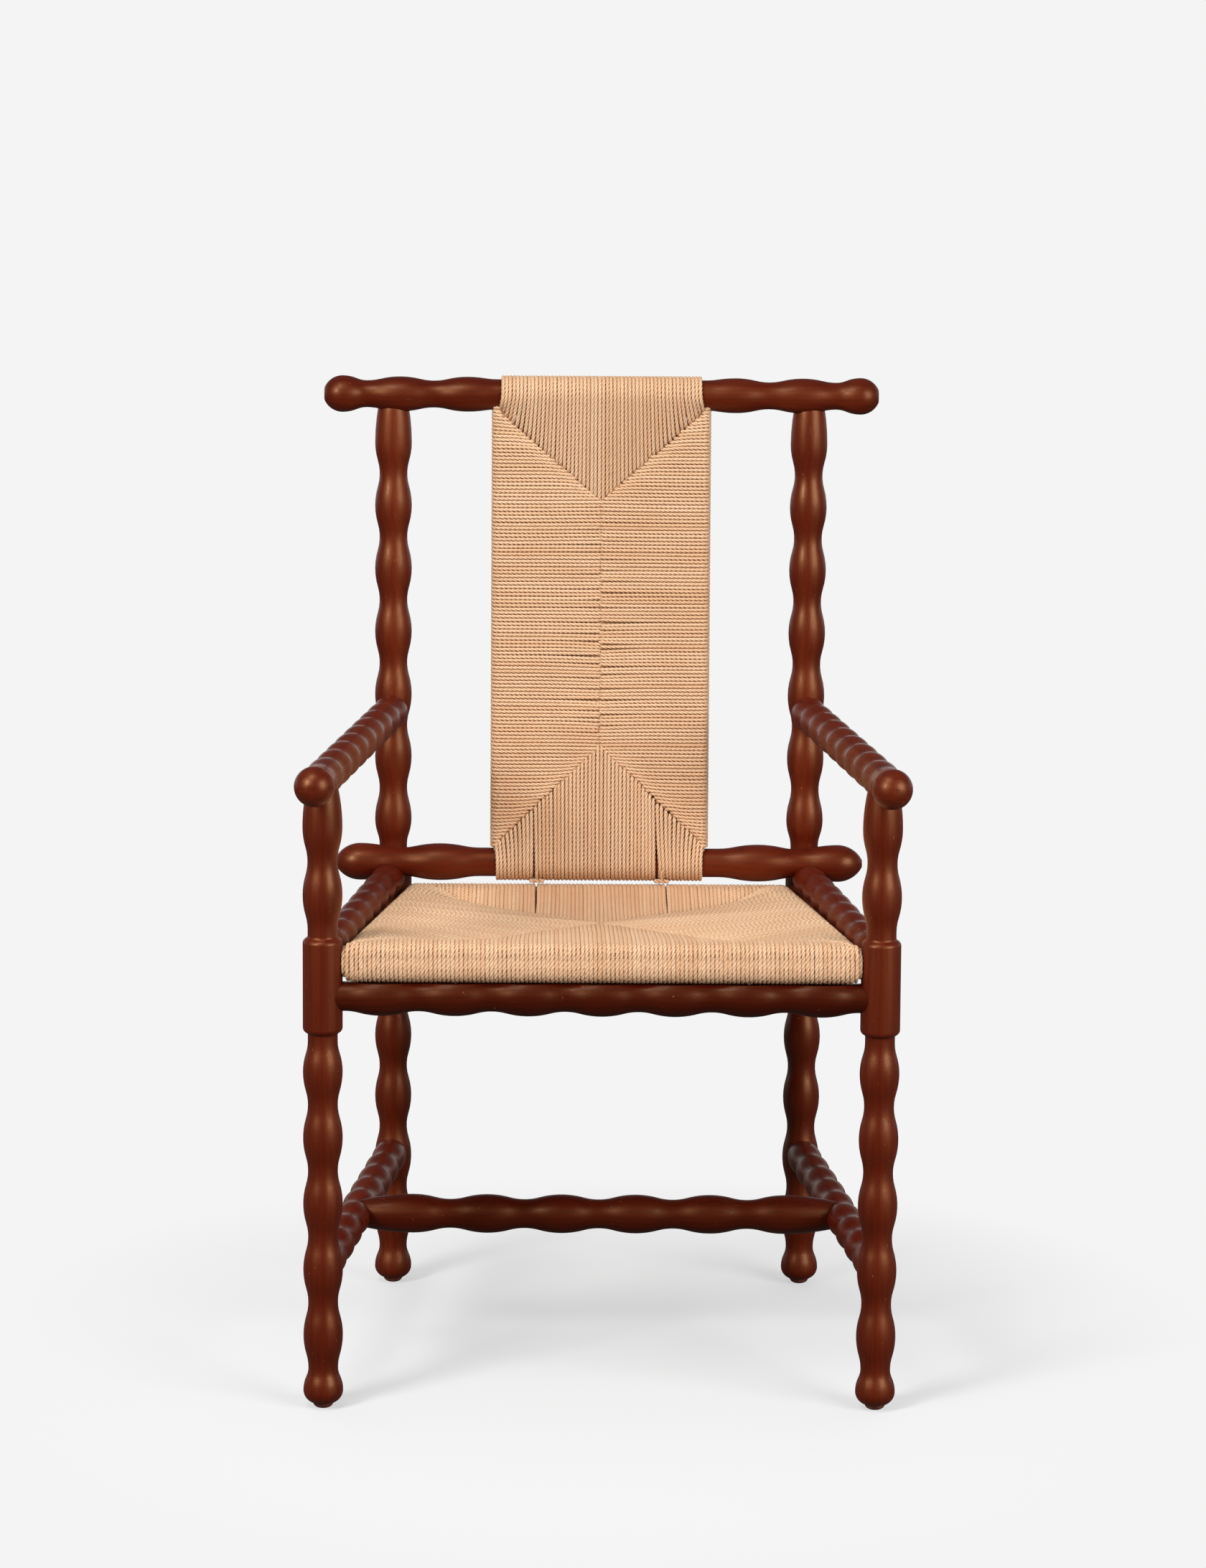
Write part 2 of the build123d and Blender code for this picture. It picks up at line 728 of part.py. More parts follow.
with BuildPart() as seat_frame_front:
    add(slip_ring.part)
    split(bisect_by=front_cut, keep=Keep.BOTTOM)
    dowel_pegs(*dowel_hole)

with BuildPart() as seat_frame_back:
    add(slip_ring.part)
    split(bisect_by=rear_cut, keep=Keep.TOP)
    dowel_pegs(*dowel_hole)

with BuildPart() as seat_frame_right:
    add(slip_ring.part)
    split(bisect_by=front_cut.offset(joint_gap), keep=Keep.TOP)
    split(bisect_by=rear_cut.offset(-joint_gap), keep=Keep.BOTTOM)
    split(bisect_by=Plane.YZ, keep=Keep.TOP)
    dowel_pegs(*dowel_hole)

with BuildPart() as seat_frame_left:
    mirror(seat_frame_right.part, about=Plane.YZ)

with BuildPart() as seat_frame_dowels:
    dowel_pegs(dowel_radius, dowel_length, Mode.ADD)

# ---- Weave of the seat: a slab round the slip frame, dished to a thin web in the middle
with BuildPart() as slip_space:
    add(seat_slab(cord, seat_thickness - 2 * cord, seat_corner_radius - cord, seat_edge_radius - cord))
    add(seat_slab(slip_inner + slip_gap, seat_thickness, 0, 0), mode=Mode.SUBTRACT)

with BuildPart() as seat_weave:
    add(seat_slab(0, seat_thickness, seat_corner_radius, seat_edge_radius))
    for facing in (1, -1):
        for inset, height in ((dish_edge_inset, seat_thickness), (dish_flat_inset, seat_web_thickness)):
            with BuildSketch(seat_plane.offset(facing * height / 2)):
                with BuildLine():
                    Polyline(*seat_outline(inset), close=True)
                make_face()
        loft(mode=Mode.SUBTRACT)
    add(slip_space.part, mode=Mode.SUBTRACT)
    for start, end, skin in seat_screw_lines:
        round_peg(start, end, skin - 1, skin + slip_inset + 1, screw_hole_radius, Mode.SUBTRACT)

# ---- Weave of the back: a dished slab on the stiles, with a sleeve on each rail
panel_thickness = stile_thickness + 2 * cord
dish_run = panel_half_width - panel_dish_inset - panel_seam_width / 2
dish_slope = (panel_thickness - panel_seam_thickness) / 2 / dish_run
run_out_half = panel_seam_thickness / 2 + dish_slope * (panel_mitre_reach - wrap_run_out)
sleeve_plane = Plane(
    origin=panel_plane.from_local_coords(Vector(-wrap_half_width, 0, 0)),
    x_dir=panel_rise,
    z_dir=(1, 0, 0),
)
sleeves = (
    (0, back_rail_wrapped_radius + cord, wrap_run_out),
    (panel_length, crest_wrapped_radius + cord, panel_length - wrap_run_out),
)

with BuildPart() as back_weave:
    with BuildSketch(panel_section.offset(panel_foot)):
        RectangleRounded(2 * panel_half_width, panel_thickness, panel_edge_radius)
    extrude(amount=panel_length - panel_foot - panel_head_gap)
    for facing in (1, -1):
        for width, height in ((panel_seam_width, panel_seam_thickness), (2 * dish_run, panel_thickness)):
            with BuildSketch(panel_plane.offset(facing * height / 2)):
                with Locations((0, panel_length / 2)):
                    Rectangle(width, panel_length - 2 * panel_mitre_reach + width)
        loft(mode=Mode.SUBTRACT)
    for place, radius, run_out in sleeves:
        with BuildSketch(sleeve_plane):
            with Locations((place, 0)):
                Circle(radius)
            with Locations((run_out, 0)):
                Rectangle(1, 2 * run_out_half)
            make_hull()
        extrude(amount=2 * wrap_half_width)
    add([crest_space, back_rail_space], mode=Mode.SUBTRACT)
    for way in (1, -1):
        with BuildSketch(panel_section):
            with Locations((way * stile_x, 0)):
                RectangleRounded(
                    stile_width + 2 * wrap_gap, stile_thickness + 2 * wrap_gap, stile_edge_radius
                )
        extrude(amount=panel_length, mode=Mode.SUBTRACT)

# ---- Small knots of cord under the lower back rail
tie_reach = back_rail_wrapped_radius + cord + joint_gap + tie_radius
with BuildPart() as back_ties:
    for way in (1, -1):
        centre = (
            way * tie_offset,
            back_rail_y - tie_reach * cos(radians(tie_angle)),
            back_rail_height - tie_reach * sin(radians(tie_angle)),
        )
        with Locations(centre):
            Cylinder(tie_radius, 2 * tie_half_length, rotation=(0, 90, 0))
        for end in (1, -1):
            with Locations((centre[0] + end * tie_half_length, *centre[1:])):
                Sphere(tie_radius)

# ---- Glides under the four feet
with BuildPart() as glide:
    with BuildSketch(Plane.XZ):
        with BuildLine():
            Line((0, 0), (glide_flat_radius, 0))
            RadiusArc((glide_flat_radius, 0), (glide_radius, glide_height - 2), -glide_height)
            Polyline(
                (glide_radius, glide_height - 2),
                (glide_radius, glide_height),
                (glide_pin_radius, glide_height),
                (glide_pin_radius, glide_height + glide_pin_length),
                (0, glide_height + glide_pin_length),
                (0, 0),
            )
        make_face()
    revolve(axis=Axis.Z)

with BuildPart() as foot_glides:
    for way in (1, -1):
        for foot in (front_foot, rear_foot):
            with Locations(across(foot, way)):
                add(glide.part)

# ---- Screws


def wood_screw(head, tip):
    """A screw from the underside of its cheese head to its tip."""
    length = (Vector(*tip) - Vector(*head)).length
    round_peg(head, tip, -screw_head_height, 0, screw_head_radius)
    round_peg(head, tip, 0, length, screw_radius)


with BuildPart() as seat_screws:
    for start, end, skin in seat_screw_lines:
        wood_screw(along(start, end, seat_screw_setback), along(start, end, screw_tip(skin)))

with BuildPart() as back_rail_screws:
    for way in (1, -1):
        wood_screw(across(back_screw_head, way), across(back_screw_tip, way))

# ---- Export
nodes = {
    "crest_rail": crest_rail,
    "lower_back_rail": lower_back_rail,
    "front_post_left": front_post_left,
    "front_post_right": front_post_right,
    "rear_post_left": rear_post_left,
    "rear_post_right": rear_post_right,
    "arm_left": arm_left,
    "arm_right": arm_right,
    "front_seat_rail": front_seat_rail,
    "rear_seat_rail": rear_seat_rail,
    "side_seat_rail_left": side_seat_rail_left,
    "side_seat_rail_right": side_seat_rail_right,
    "side_stretcher_left": side_stretcher_left,
    "side_stretcher_right": side_stretcher_right,
    "cross_stretcher": cross_stretcher,
    "seat_frame_front": seat_frame_front,
    "seat_frame_back": seat_frame_back,
    "seat_frame_left": seat_frame_left,
    "seat_frame_right": seat_frame_right,
    "seat_frame_dowels": seat_frame_dowels,
    "panel_stile_left": panel_stile_left,
    "panel_stile_right": panel_stile_right,
    "seat_weave": seat_weave,
    "back_weave": back_weave,
    "back_ties": back_ties,
    "foot_glides": foot_glides,
    "seat_screws": seat_screws,
    "back_rail_screws": back_rail_screws,
}
os.makedirs("parts", exist_ok=True)
for name, node in nodes.items():
    node.part.label = name
    export_step(node.part, f"parts/{name}.step")
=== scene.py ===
"""A lathe-turned armchair with a seat and a back woven from paper cord.

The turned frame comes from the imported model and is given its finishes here. The woven seat
and back are laid strand by strand as twisted three-ply cord. Lengths are in metres, +Z is up
and the sitter faces -Y.
"""

import logging
import math
from dataclasses import dataclass, field, replace
from enum import Enum
from typing import Any, Iterable, Sequence

import bpy
import numpy as np
from mathutils import Matrix, Vector

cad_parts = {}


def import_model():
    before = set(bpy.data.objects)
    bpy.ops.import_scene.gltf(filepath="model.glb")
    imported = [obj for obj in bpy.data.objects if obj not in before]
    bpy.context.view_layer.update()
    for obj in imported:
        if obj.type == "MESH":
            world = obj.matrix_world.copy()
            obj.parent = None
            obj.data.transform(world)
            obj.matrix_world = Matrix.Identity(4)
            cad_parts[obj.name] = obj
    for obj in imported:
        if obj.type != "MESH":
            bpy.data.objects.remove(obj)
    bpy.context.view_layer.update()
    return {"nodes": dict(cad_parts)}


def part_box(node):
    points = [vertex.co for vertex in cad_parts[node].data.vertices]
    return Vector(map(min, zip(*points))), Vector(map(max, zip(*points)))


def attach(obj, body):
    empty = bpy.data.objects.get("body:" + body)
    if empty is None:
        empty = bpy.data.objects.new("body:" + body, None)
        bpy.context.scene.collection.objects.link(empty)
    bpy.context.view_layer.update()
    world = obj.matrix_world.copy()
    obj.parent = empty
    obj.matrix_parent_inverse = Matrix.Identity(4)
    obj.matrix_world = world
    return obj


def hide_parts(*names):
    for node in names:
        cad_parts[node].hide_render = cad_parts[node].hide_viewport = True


LOG = logging.getLogger("chair")
WHITE = (1.0, 1.0, 1.0, 1.0)
SIDEWAYS = Vector((1.0, 0.0, 0.0))
BACKWARD = Vector((0.0, 1.0, 0.0))
UPWARD = Vector((0.0, 0.0, 1.0))
CREST_AXIS = (0.2432, 0.9810)
LOWER_BACK_AXIS = (0.2222, 0.4746)
Points = np.ndarray
Colour = tuple[float, float, float]
Socket = bpy.types.NodeSocket


class Side(Enum):
    """The two sides of the chair, as seen from the front."""

    LEFT = -1
    RIGHT = 1


class End(Enum):
    """The two ends of a run of strands that lie parallel."""

    NEAR = 0
    FAR = 1


def set_out(name: str, data: bpy.types.ID) -> bpy.types.Object:
    """Makes an object and puts it in the scene.

    Args:
        name: the object's name.
        data: its mesh, lamp or camera.

    Returns:
        The new object.
    """
    thing = bpy.data.objects.new(name, data)
    bpy.context.scene.collection.objects.link(thing)
    return thing


# ---------------------------------------------------------------- shader trees


@dataclass
class Graph:
    """A shader tree with short calls that add and join its nodes."""

    tree: bpy.types.NodeTree

    def add(self, kind: str, inputs: dict[Any, Any] | None = None, **settings: Any) -> bpy.types.Node:
        """Adds a node.

        Args:
            kind: the node's type name without its "ShaderNode" prefix.
            inputs: values or output sockets, by input name or index.
            **settings: properties of the node itself.

        Returns:
            The new node.
        """
        name = kind if kind.startswith("NodeGroup") else "ShaderNode" + kind
        node = self.tree.nodes.new(name)
        for key, value in settings.items():
            setattr(node, key, value)
        for key, value in (inputs or {}).items():
            self.feed(node.inputs[key], value)
        return node

    def feed(self, socket: bpy.types.NodeSocket, value: Any) -> None:
        """Joins an output to an input, or sets the input's own value.

        Args:
            socket: the input.
            value: an output socket, or a plain value.
        """
        if isinstance(value, bpy.types.NodeSocket):
            self.tree.links.new(value, socket)
        else:
            socket.default_value = value

    def math(self, operation: str, first: Any, second: Any = 0.0) -> Socket:
        """Adds a Math node and returns its output."""
        return self.add("Math", {0: first, 1: second}, operation=operation).outputs[0]

    def vector(self, operation: str, first: Any, second: Any = (0.0, 0.0, 0.0), output: int = 0) -> Socket:
        """Adds a Vector Math node and returns one of its outputs."""
        return self.add("VectorMath", {0: first, 1: second}, operation=operation).outputs[output]

    def scaled(self, vector: Any, factor: Any) -> Socket:
        """Scales a vector by a number and returns the result."""
        return self.add("VectorMath", {0: vector, "Scale": factor}, operation="SCALE").outputs[0]

    def place(self) -> Socket:
        """Adds the piece's own coordinates, in metres."""
        return self.add("TexCoord").outputs["Object"]

    def noise(self, vector: Any, scale: float, detail: float = 2.0, roughness: float = 0.5) -> Socket:
        """Adds a noise texture and returns its factor."""
        inputs = {"Vector": vector, "Scale": scale, "Detail": detail, "Roughness": roughness}
        return self.add("TexNoise", inputs).outputs["Fac"]

    def remap(self, value: Any, low: float, high: float, to_low: float = 0.0, to_high: float = 1.0) -> Socket:
        """Adds a clamped Map Range node and returns its result."""
        inputs = {0: value, 1: low, 2: high, 3: to_low, 4: to_high}
        return self.add("MapRange", inputs).outputs[0]

    def mix(self, factor: Any, first: Any, second: Any) -> Socket:
        """Mixes two colours, given as sockets or as plain values, and returns the result."""
        inputs = {0: factor, 6: _solid(first), 7: _solid(second)}
        return self.add("Mix", inputs, data_type="RGBA").outputs[2]

    def bump(self, shader: bpy.types.Node, height: Any, strength: float, distance: float) -> None:
        """Gives a shader relief.

        Args:
            shader: the shader.
            height: the relief's height.
            strength: how much of the relief shows.
            distance: how deep a height of 1 is, in metres.
        """
        relief = self.add("Bump", {"Height": height, "Strength": strength, "Distance": distance})
        self.feed(shader.inputs["Normal"], relief.outputs["Normal"])


def _solid(colour: Any) -> Any:
    """Gives a plain colour its fourth component.

    Args:
        colour: a colour of three numbers, or a socket.

    Returns:
        The colour with an alpha of 1, or the socket as it is.
    """
    if isinstance(colour, tuple) and len(colour) == 3:
        return (*colour, 1.0)
    return colour


def new_group(
    name: str,
    inputs: Sequence[tuple[str, str, Any]],
    outputs: Sequence[str],
) -> tuple[bpy.types.NodeTree, Graph, bpy.types.Node, bpy.types.Node]:
    """Starts a shader node group.

    Args:
        name: the group's name.
        inputs: name, socket type and default value of each input.
        outputs: the name of each output, which is a number.

    Returns:
        The group, its graph, and its input and output nodes.
    """
    tree = bpy.data.node_groups.new(name, "ShaderNodeTree")
    for label, kind, default in inputs:
        socket = tree.interface.new_socket(label, in_out="INPUT", socket_type="NodeSocket" + kind)
        socket.default_value = default
    for label in outputs:
        tree.interface.new_socket(label, in_out="OUTPUT", socket_type="NodeSocketFloat")
    graph = Graph(tree)
    return tree, graph, graph.add("NodeGroupInput"), graph.add("NodeGroupOutput")


def wood_grain_group() -> bpy.types.NodeTree:
    """Builds the group that cuts growth rings, fibres and pores through a length of timber.

    Returns:
        A group that puts out ring, fibre, pore, patch, fleck and height values.
    """
    tree, g, given, result = new_group(
        "wood_grain",
        [
            ("Start", "Vector", (0.0, 0.0, 0.0)),
            ("Direction", "Vector", (0.0, 0.0, 1.0)),
            ("Pith", "Vector", (0.0, 0.0, 0.0)),
            ("Ring Spacing", "Float", 0.004),
            ("Seed", "Float", 0.0),
        ],
        ["Rings", "Fibre", "Pores", "Patches", "Flecks", "Height"],
    )
    local = g.vector("SUBTRACT", g.place(), given.outputs["Start"])
    run = g.vector("DOT_PRODUCT", local, given.outputs["Direction"], output=1)
    lengthwise = g.scaled(given.outputs["Direction"], run)
    across = g.vector("SUBTRACT", local, lengthwise)
    shift = g.scaled((3.1, 1.7, 2.3), given.outputs["Seed"])

    def drawn_out(stretch: float) -> Socket:
        """Coordinates in which the length of the timber is squeezed."""
        squeezed = g.scaled(lengthwise, stretch)
        return g.vector("ADD", g.vector("ADD", across, squeezed), shift)

    waver, late_start, late_end = 0.026, 0.55, 0.93
    warp = g.math("MULTIPLY", g.math("SUBTRACT", g.noise(drawn_out(0.20), 16.0, detail=3.0), 0.5), waver)
    distance = g.vector("LENGTH", g.vector("SUBTRACT", across, given.outputs["Pith"]), output=1)
    phase = g.math("DIVIDE", g.math("ADD", distance, warp), given.outputs["Ring Spacing"])
    saw = g.math("FRACT", phase)
    rings = g.math("MULTIPLY", g.remap(saw, late_start, late_end), g.remap(saw, late_end, 1.0, 1.0, 0.0))
    fibre = g.noise(drawn_out(0.035), 900.0, detail=3.0, roughness=0.6)
    pores = g.remap(g.noise(drawn_out(0.05), 620.0, detail=1.0), 0.66, 0.76)
    patches = g.noise(drawn_out(0.12), 26.0, detail=4.0, roughness=0.55)
    flecks = g.remap(g.noise(drawn_out(0.7), 330.0, detail=1.0), 0.765, 0.80)
    height = g.math("SUBTRACT", g.math("MULTIPLY", fibre, 0.35), g.math("MULTIPLY", pores, 0.9))
    for label, value in (
        ("Rings", rings),
        ("Fibre", fibre),
        ("Pores", pores),
        ("Patches", patches),
        ("Flecks", flecks),
        ("Height", height),
    ):
        g.feed(result.inputs[label], value)
    return tree


def cord_fibre_group() -> bpy.types.NodeTree:
    """Builds the group that varies the tone of spun paper over the strands.

    Returns:
        A group that puts out tone, speck and height values.
    """
    tree, g, given, result = new_group(
        "cord_fibre",
        [("Strand Tone", "Float", 0.5), ("Seed", "Float", 0.0)],
        ["Tone", "Specks", "Height"],
    )
    place = g.vector("ADD", g.place(), g.scaled((1.3, 2.1, 0.7), given.outputs["Seed"]))
    broad = g.math("MULTIPLY", g.noise(place, 14.0, detail=3.0, roughness=0.6), 0.65)
    own = g.math("MULTIPLY", given.outputs["Strand Tone"], 0.35)
    g.feed(result.inputs["Tone"], g.math("ADD", broad, own))
    g.feed(result.inputs["Specks"], g.remap(g.noise(place, 260.0, detail=2.0), 0.66, 0.74))
    g.feed(result.inputs["Height"], g.noise(place, 420.0, detail=3.0, roughness=0.6))
    return tree


class Effects:
    """The node groups that several finishes share, each built once."""

    def __init__(self) -> None:
        """Builds the groups."""
        self.wood = wood_grain_group()
        self.fibre = cord_fibre_group()


# ---------------------------------------------------------------- finishes


def blank_material(name: str) -> tuple[bpy.types.Material, Graph, bpy.types.Node]:
    """Starts a material with one Principled shader.

    Args:
        name: the material's name.

    Returns:
        The material, its graph and the shader.
    """
    material = bpy.data.materials.new(name)
    material.use_nodes = True
    material.node_tree.nodes.clear()
    graph = Graph(material.node_tree)
    shader = graph.add("BsdfPrincipled")
    graph.add("OutputMaterial", {"Surface": shader.outputs["BSDF"]})
    return material, graph, shader


@dataclass(frozen=True)
class StainedWood:
    """Hardwood under a reddish-brown stain and a satin lacquer."""

    deep: Colour = (0.040, 0.0011, 0.0001)
    middle: Colour = (0.082, 0.0026, 0.0002)
    light: Colour = (0.122, 0.0078, 0.0010)
    fleck: Colour = (0.30, 0.11, 0.050)
    glaze: Colour = (1.0, 0.50, 0.22)
    pith_depth: float = 0.045
    pith_spread: float = 0.02
    ring_spacing: float = 0.0058
    ring_strength: float = 0.42
    fibre_strength: float = 0.20
    pore_strength: float = 0.45
    fleck_strength: float = 0.60
    rim_coat: float = 0.42
    peel: float = 0.45
    peel_scale: float = 520.0
    roughness: float = 0.44
    specular: float = 0.85
    coat: float = 0.05
    coat_roughness: float = 0.12

    def with_painted_shade(self, colour: Colour, tone: float) -> Colour:
        """A stain colour darkened by a factor, as painted shade."""
        return tuple(part * tone for part in colour)

    def material(
        self,
        effects: Effects,
        name: str,
        start: Vector,
        direction: Vector,
        seed: float,
        tone: float = 1.0,
    ) -> bpy.types.Material:
        """Makes the finish for one turned member.

        Args:
            effects: the shared node groups.
            name: the material's name.
            start: a point on the member's axis.
            direction: the way its grain runs.
            seed: a number that sets its figure apart from the others'.
            tone: the factor by which painted shade darkens its colour and its highlights, against the posts'.

        Returns:
            The material.
        """
        material, g, shader = blank_material(name)
        # Painted shade: the stain colours are darkened by the member's tone.
        deep, middle, light = (self.with_painted_shade(colour, tone) for colour in (self.deep, self.middle, self.light))
        direction = direction.normalized()
        sideways = direction.orthogonal().normalized()
        turn = Matrix.Rotation(seed * 2.4, 3, direction)
        pith = turn @ sideways * (self.pith_depth + self.pith_spread * math.sin(seed * 5.0))
        grain = g.add("Group", node_tree=effects.wood)
        for key, value in (
            ("Start", start),
            ("Direction", direction),
            ("Pith", pith),
            ("Ring Spacing", self.ring_spacing),
            ("Seed", seed),
        ):
            grain.inputs[key].default_value = value
        base = g.mix(g.remap(grain.outputs["Patches"], 0.32, 0.70), middle, light)
        streaked = g.mix(g.math("MULTIPLY", grain.outputs["Rings"], self.ring_strength), base, deep)
        threads = g.remap(grain.outputs["Fibre"], 0.35, 0.75, self.fibre_strength, 0.0)
        threaded = g.mix(threads, streaked, deep)
        pored = g.mix(g.math("MULTIPLY", grain.outputs["Pores"], self.pore_strength), threaded, deep)
        flecked = g.mix(g.math("MULTIPLY", grain.outputs["Flecks"], self.fleck_strength), pored, self.fleck)
        g.feed(shader.inputs["Base Color"], flecked)
        rough = g.remap(grain.outputs["Patches"], 0.3, 0.7, self.roughness - 0.04, self.roughness + 0.05)
        g.feed(shader.inputs["Roughness"], rough)
        # Painted shade also dims the highlights by the member's tone.
        shader.inputs["Specular IOR Level"].default_value = self.specular * tone
        shader.inputs["Specular Tint"].default_value = _solid(self.glaze)
        facing = g.add("LayerWeight", {"Blend": 0.5}).outputs["Facing"]
        g.feed(shader.inputs["Coat Weight"], g.remap(facing, 0.72, 0.96, self.coat, self.rim_coat))
        shader.inputs["Coat Roughness"].default_value = self.coat_roughness
        pebbled = g.math("MULTIPLY", g.noise(g.place(), self.peel_scale, detail=2.0), self.peel)
        g.bump(shader, g.math("ADD", grain.outputs["Height"], pebbled), strength=0.25, distance=0.0005)
        return material


@dataclass(frozen=True)
class BareWood:
    """Planed light wood with no finish, for the hidden frames."""

    dark: Colour = (0.33, 0.19, 0.09)
    light: Colour = (0.56, 0.38, 0.21)
    pith_depth: float = 0.08
    fibre_strength: float = 0.3

    def material(self, effects: Effects, name: str, direction: Vector, seed: float) -> bpy.types.Material:
        """Makes the finish for one board or dowel.

        Args:
            effects: the shared node groups.
            name: the material's name.
            direction: the way its grain runs.
            seed: a number that sets its figure apart from the others'.

        Returns:
            The material.
        """
        material, g, shader = blank_material(name)
        grain = g.add("Group", node_tree=effects.wood)
        grain.inputs["Direction"].default_value = direction.normalized()
        grain.inputs["Pith"].default_value = direction.orthogonal().normalized() * self.pith_depth
        grain.inputs["Seed"].default_value = seed
        ringed = g.mix(grain.outputs["Rings"], self.light, self.dark)
        threads = g.math("MULTIPLY", grain.outputs["Fibre"], self.fibre_strength)
        g.feed(shader.inputs["Base Color"], g.mix(threads, ringed, self.dark))
        g.feed(shader.inputs["Roughness"], g.remap(grain.outputs["Fibre"], 0.2, 0.8, 0.65, 0.8))
        g.bump(shader, grain.outputs["Height"], strength=0.3, distance=0.0004)
        return material


@dataclass(frozen=True)
class PaperCord:
    """Unbleached paper spun into a smooth, tight cord."""

    # The colour of the painted shade in the ply grooves.
    dark: Colour = (0.38, 0.170, 0.080)
    middle: Colour = (0.80, 0.490, 0.280)
    light: Colour = (0.88, 0.600, 0.380)
    speck: Colour = (0.42, 0.20, 0.09)
    roughness: float = 0.72
    groove_shade_strength: float = 0.62
    speck_strength: float = 0.4
    fibre_height: float = 0.25
    relief: float = 0.00065

    def material(self, effects: Effects, name: str, seed: float) -> bpy.types.Material:
        """Makes the finish for a body of cord.

        Args:
            effects: the shared node groups.
            name: the material's name.
            seed: a number that shifts its mottling.

        Returns:
            The material.
        """
        material, g, shader = blank_material(name)
        tone = g.add("Attribute", attribute_name=CordSpinner.TONE).outputs["Fac"]
        depth = g.add("Attribute", attribute_name=CordSpinner.GROOVE).outputs["Fac"]
        fibre = g.add("Group", node_tree=effects.fibre)
        g.feed(fibre.inputs["Strand Tone"], tone)
        fibre.inputs["Seed"].default_value = seed
        base = g.mix(g.remap(fibre.outputs["Tone"], 0.25, 0.72), self.middle, self.light)
        # Painted shade: the colour darkens towards the bottom of each ply groove, and the same mark sinks the
        # grooves in the bump.
        furrow = g.remap(depth, 0.45, 1.0)
        groove_shaded = g.mix(g.math("MULTIPLY", furrow, self.groove_shade_strength), base, self.dark)
        specks = g.math("MULTIPLY", fibre.outputs["Specks"], self.speck_strength)
        g.feed(shader.inputs["Base Color"], g.mix(specks, groove_shaded, self.speck))
        rough = g.remap(fibre.outputs["Tone"], 0.2, 0.8, self.roughness - 0.04, self.roughness + 0.08)
        g.feed(shader.inputs["Roughness"], rough)
        shader.inputs["Specular IOR Level"].default_value = 0.3
        fuzz = g.math("MULTIPLY", fibre.outputs["Height"], self.fibre_height)
        g.bump(shader, g.math("SUBTRACT", fuzz, furrow), strength=0.6, distance=self.relief)
        return material


@dataclass(frozen=True)
class FoldedPaper:
    """Creased brown paper, hidden between the two faces of a weave."""

    dark: Colour = (0.30, 0.150, 0.070)
    light: Colour = (0.50, 0.270, 0.135)

    def material(self, effects: Effects, name: str, seed: float) -> bpy.types.Material:
        """Makes the finish for one pad.

        Args:
            effects: the shared node groups.
            name: the material's name.
            seed: a number that shifts its creases.

        Returns:
            The material.
        """
        material, g, shader = blank_material(name)
        fibre = g.add("Group", node_tree=effects.fibre)
        fibre.inputs["Seed"].default_value = seed
        g.feed(shader.inputs["Base Color"], g.mix(fibre.outputs["Tone"], self.dark, self.light))
        g.feed(shader.inputs["Roughness"], g.remap(fibre.outputs["Tone"], 0.2, 0.8, 0.8, 0.95))
        g.bump(shader, fibre.outputs["Height"], strength=0.5, distance=0.0006)
        return material


@dataclass(frozen=True)
class MouldedPlastic:
    """Brown plastic with a fine moulded texture and scuffs."""

    colour: Colour = (0.150, 0.034, 0.020)
    scuff: Colour = (0.230, 0.080, 0.055)

    def material(self) -> bpy.types.Material:
        """Makes the finish.

        Returns:
            The material.
        """
        material, g, shader = blank_material("glide_plastic")
        place = g.place()
        scuffs = g.remap(g.noise(place, 240.0, detail=4.0, roughness=0.6), 0.52, 0.7)
        g.feed(shader.inputs["Base Color"], g.mix(scuffs, self.colour, self.scuff))
        g.feed(shader.inputs["Roughness"], g.remap(scuffs, 0.0, 1.0, 0.42, 0.62))
        g.bump(shader, g.noise(place, 2500.0, detail=2.0), strength=0.2, distance=0.0002)
        return material


@dataclass(frozen=True)
class PlatedSteel:
    """Zinc-plated steel, slightly cloudy."""

    bright: Colour = (0.62, 0.60, 0.55)
    dull: Colour = (0.42, 0.40, 0.36)

    def material(self) -> bpy.types.Material:
        """Makes the finish.

        Returns:
            The material.
        """
        material, g, shader = blank_material("plated_steel")
        cloud = g.noise(g.place(), 350.0, detail=4.0, roughness=0.6)
        g.feed(shader.inputs["Base Color"], g.mix(g.remap(cloud, 0.35, 0.65), self.bright, self.dull))
        shader.inputs["Metallic"].default_value = 1.0
        g.feed(shader.inputs["Roughness"], g.remap(cloud, 0.3, 0.7, 0.28, 0.48))
        g.bump(shader, cloud, strength=0.1, distance=0.0002)
        return material


# ---------------------------------------------------------------- cord


@dataclass
class Strand:
    """One length of cord: the points it follows and the way that lies across it."""

    points: Points
    across: Vector
    tone: float = 0.5
    turn: float = 0.0


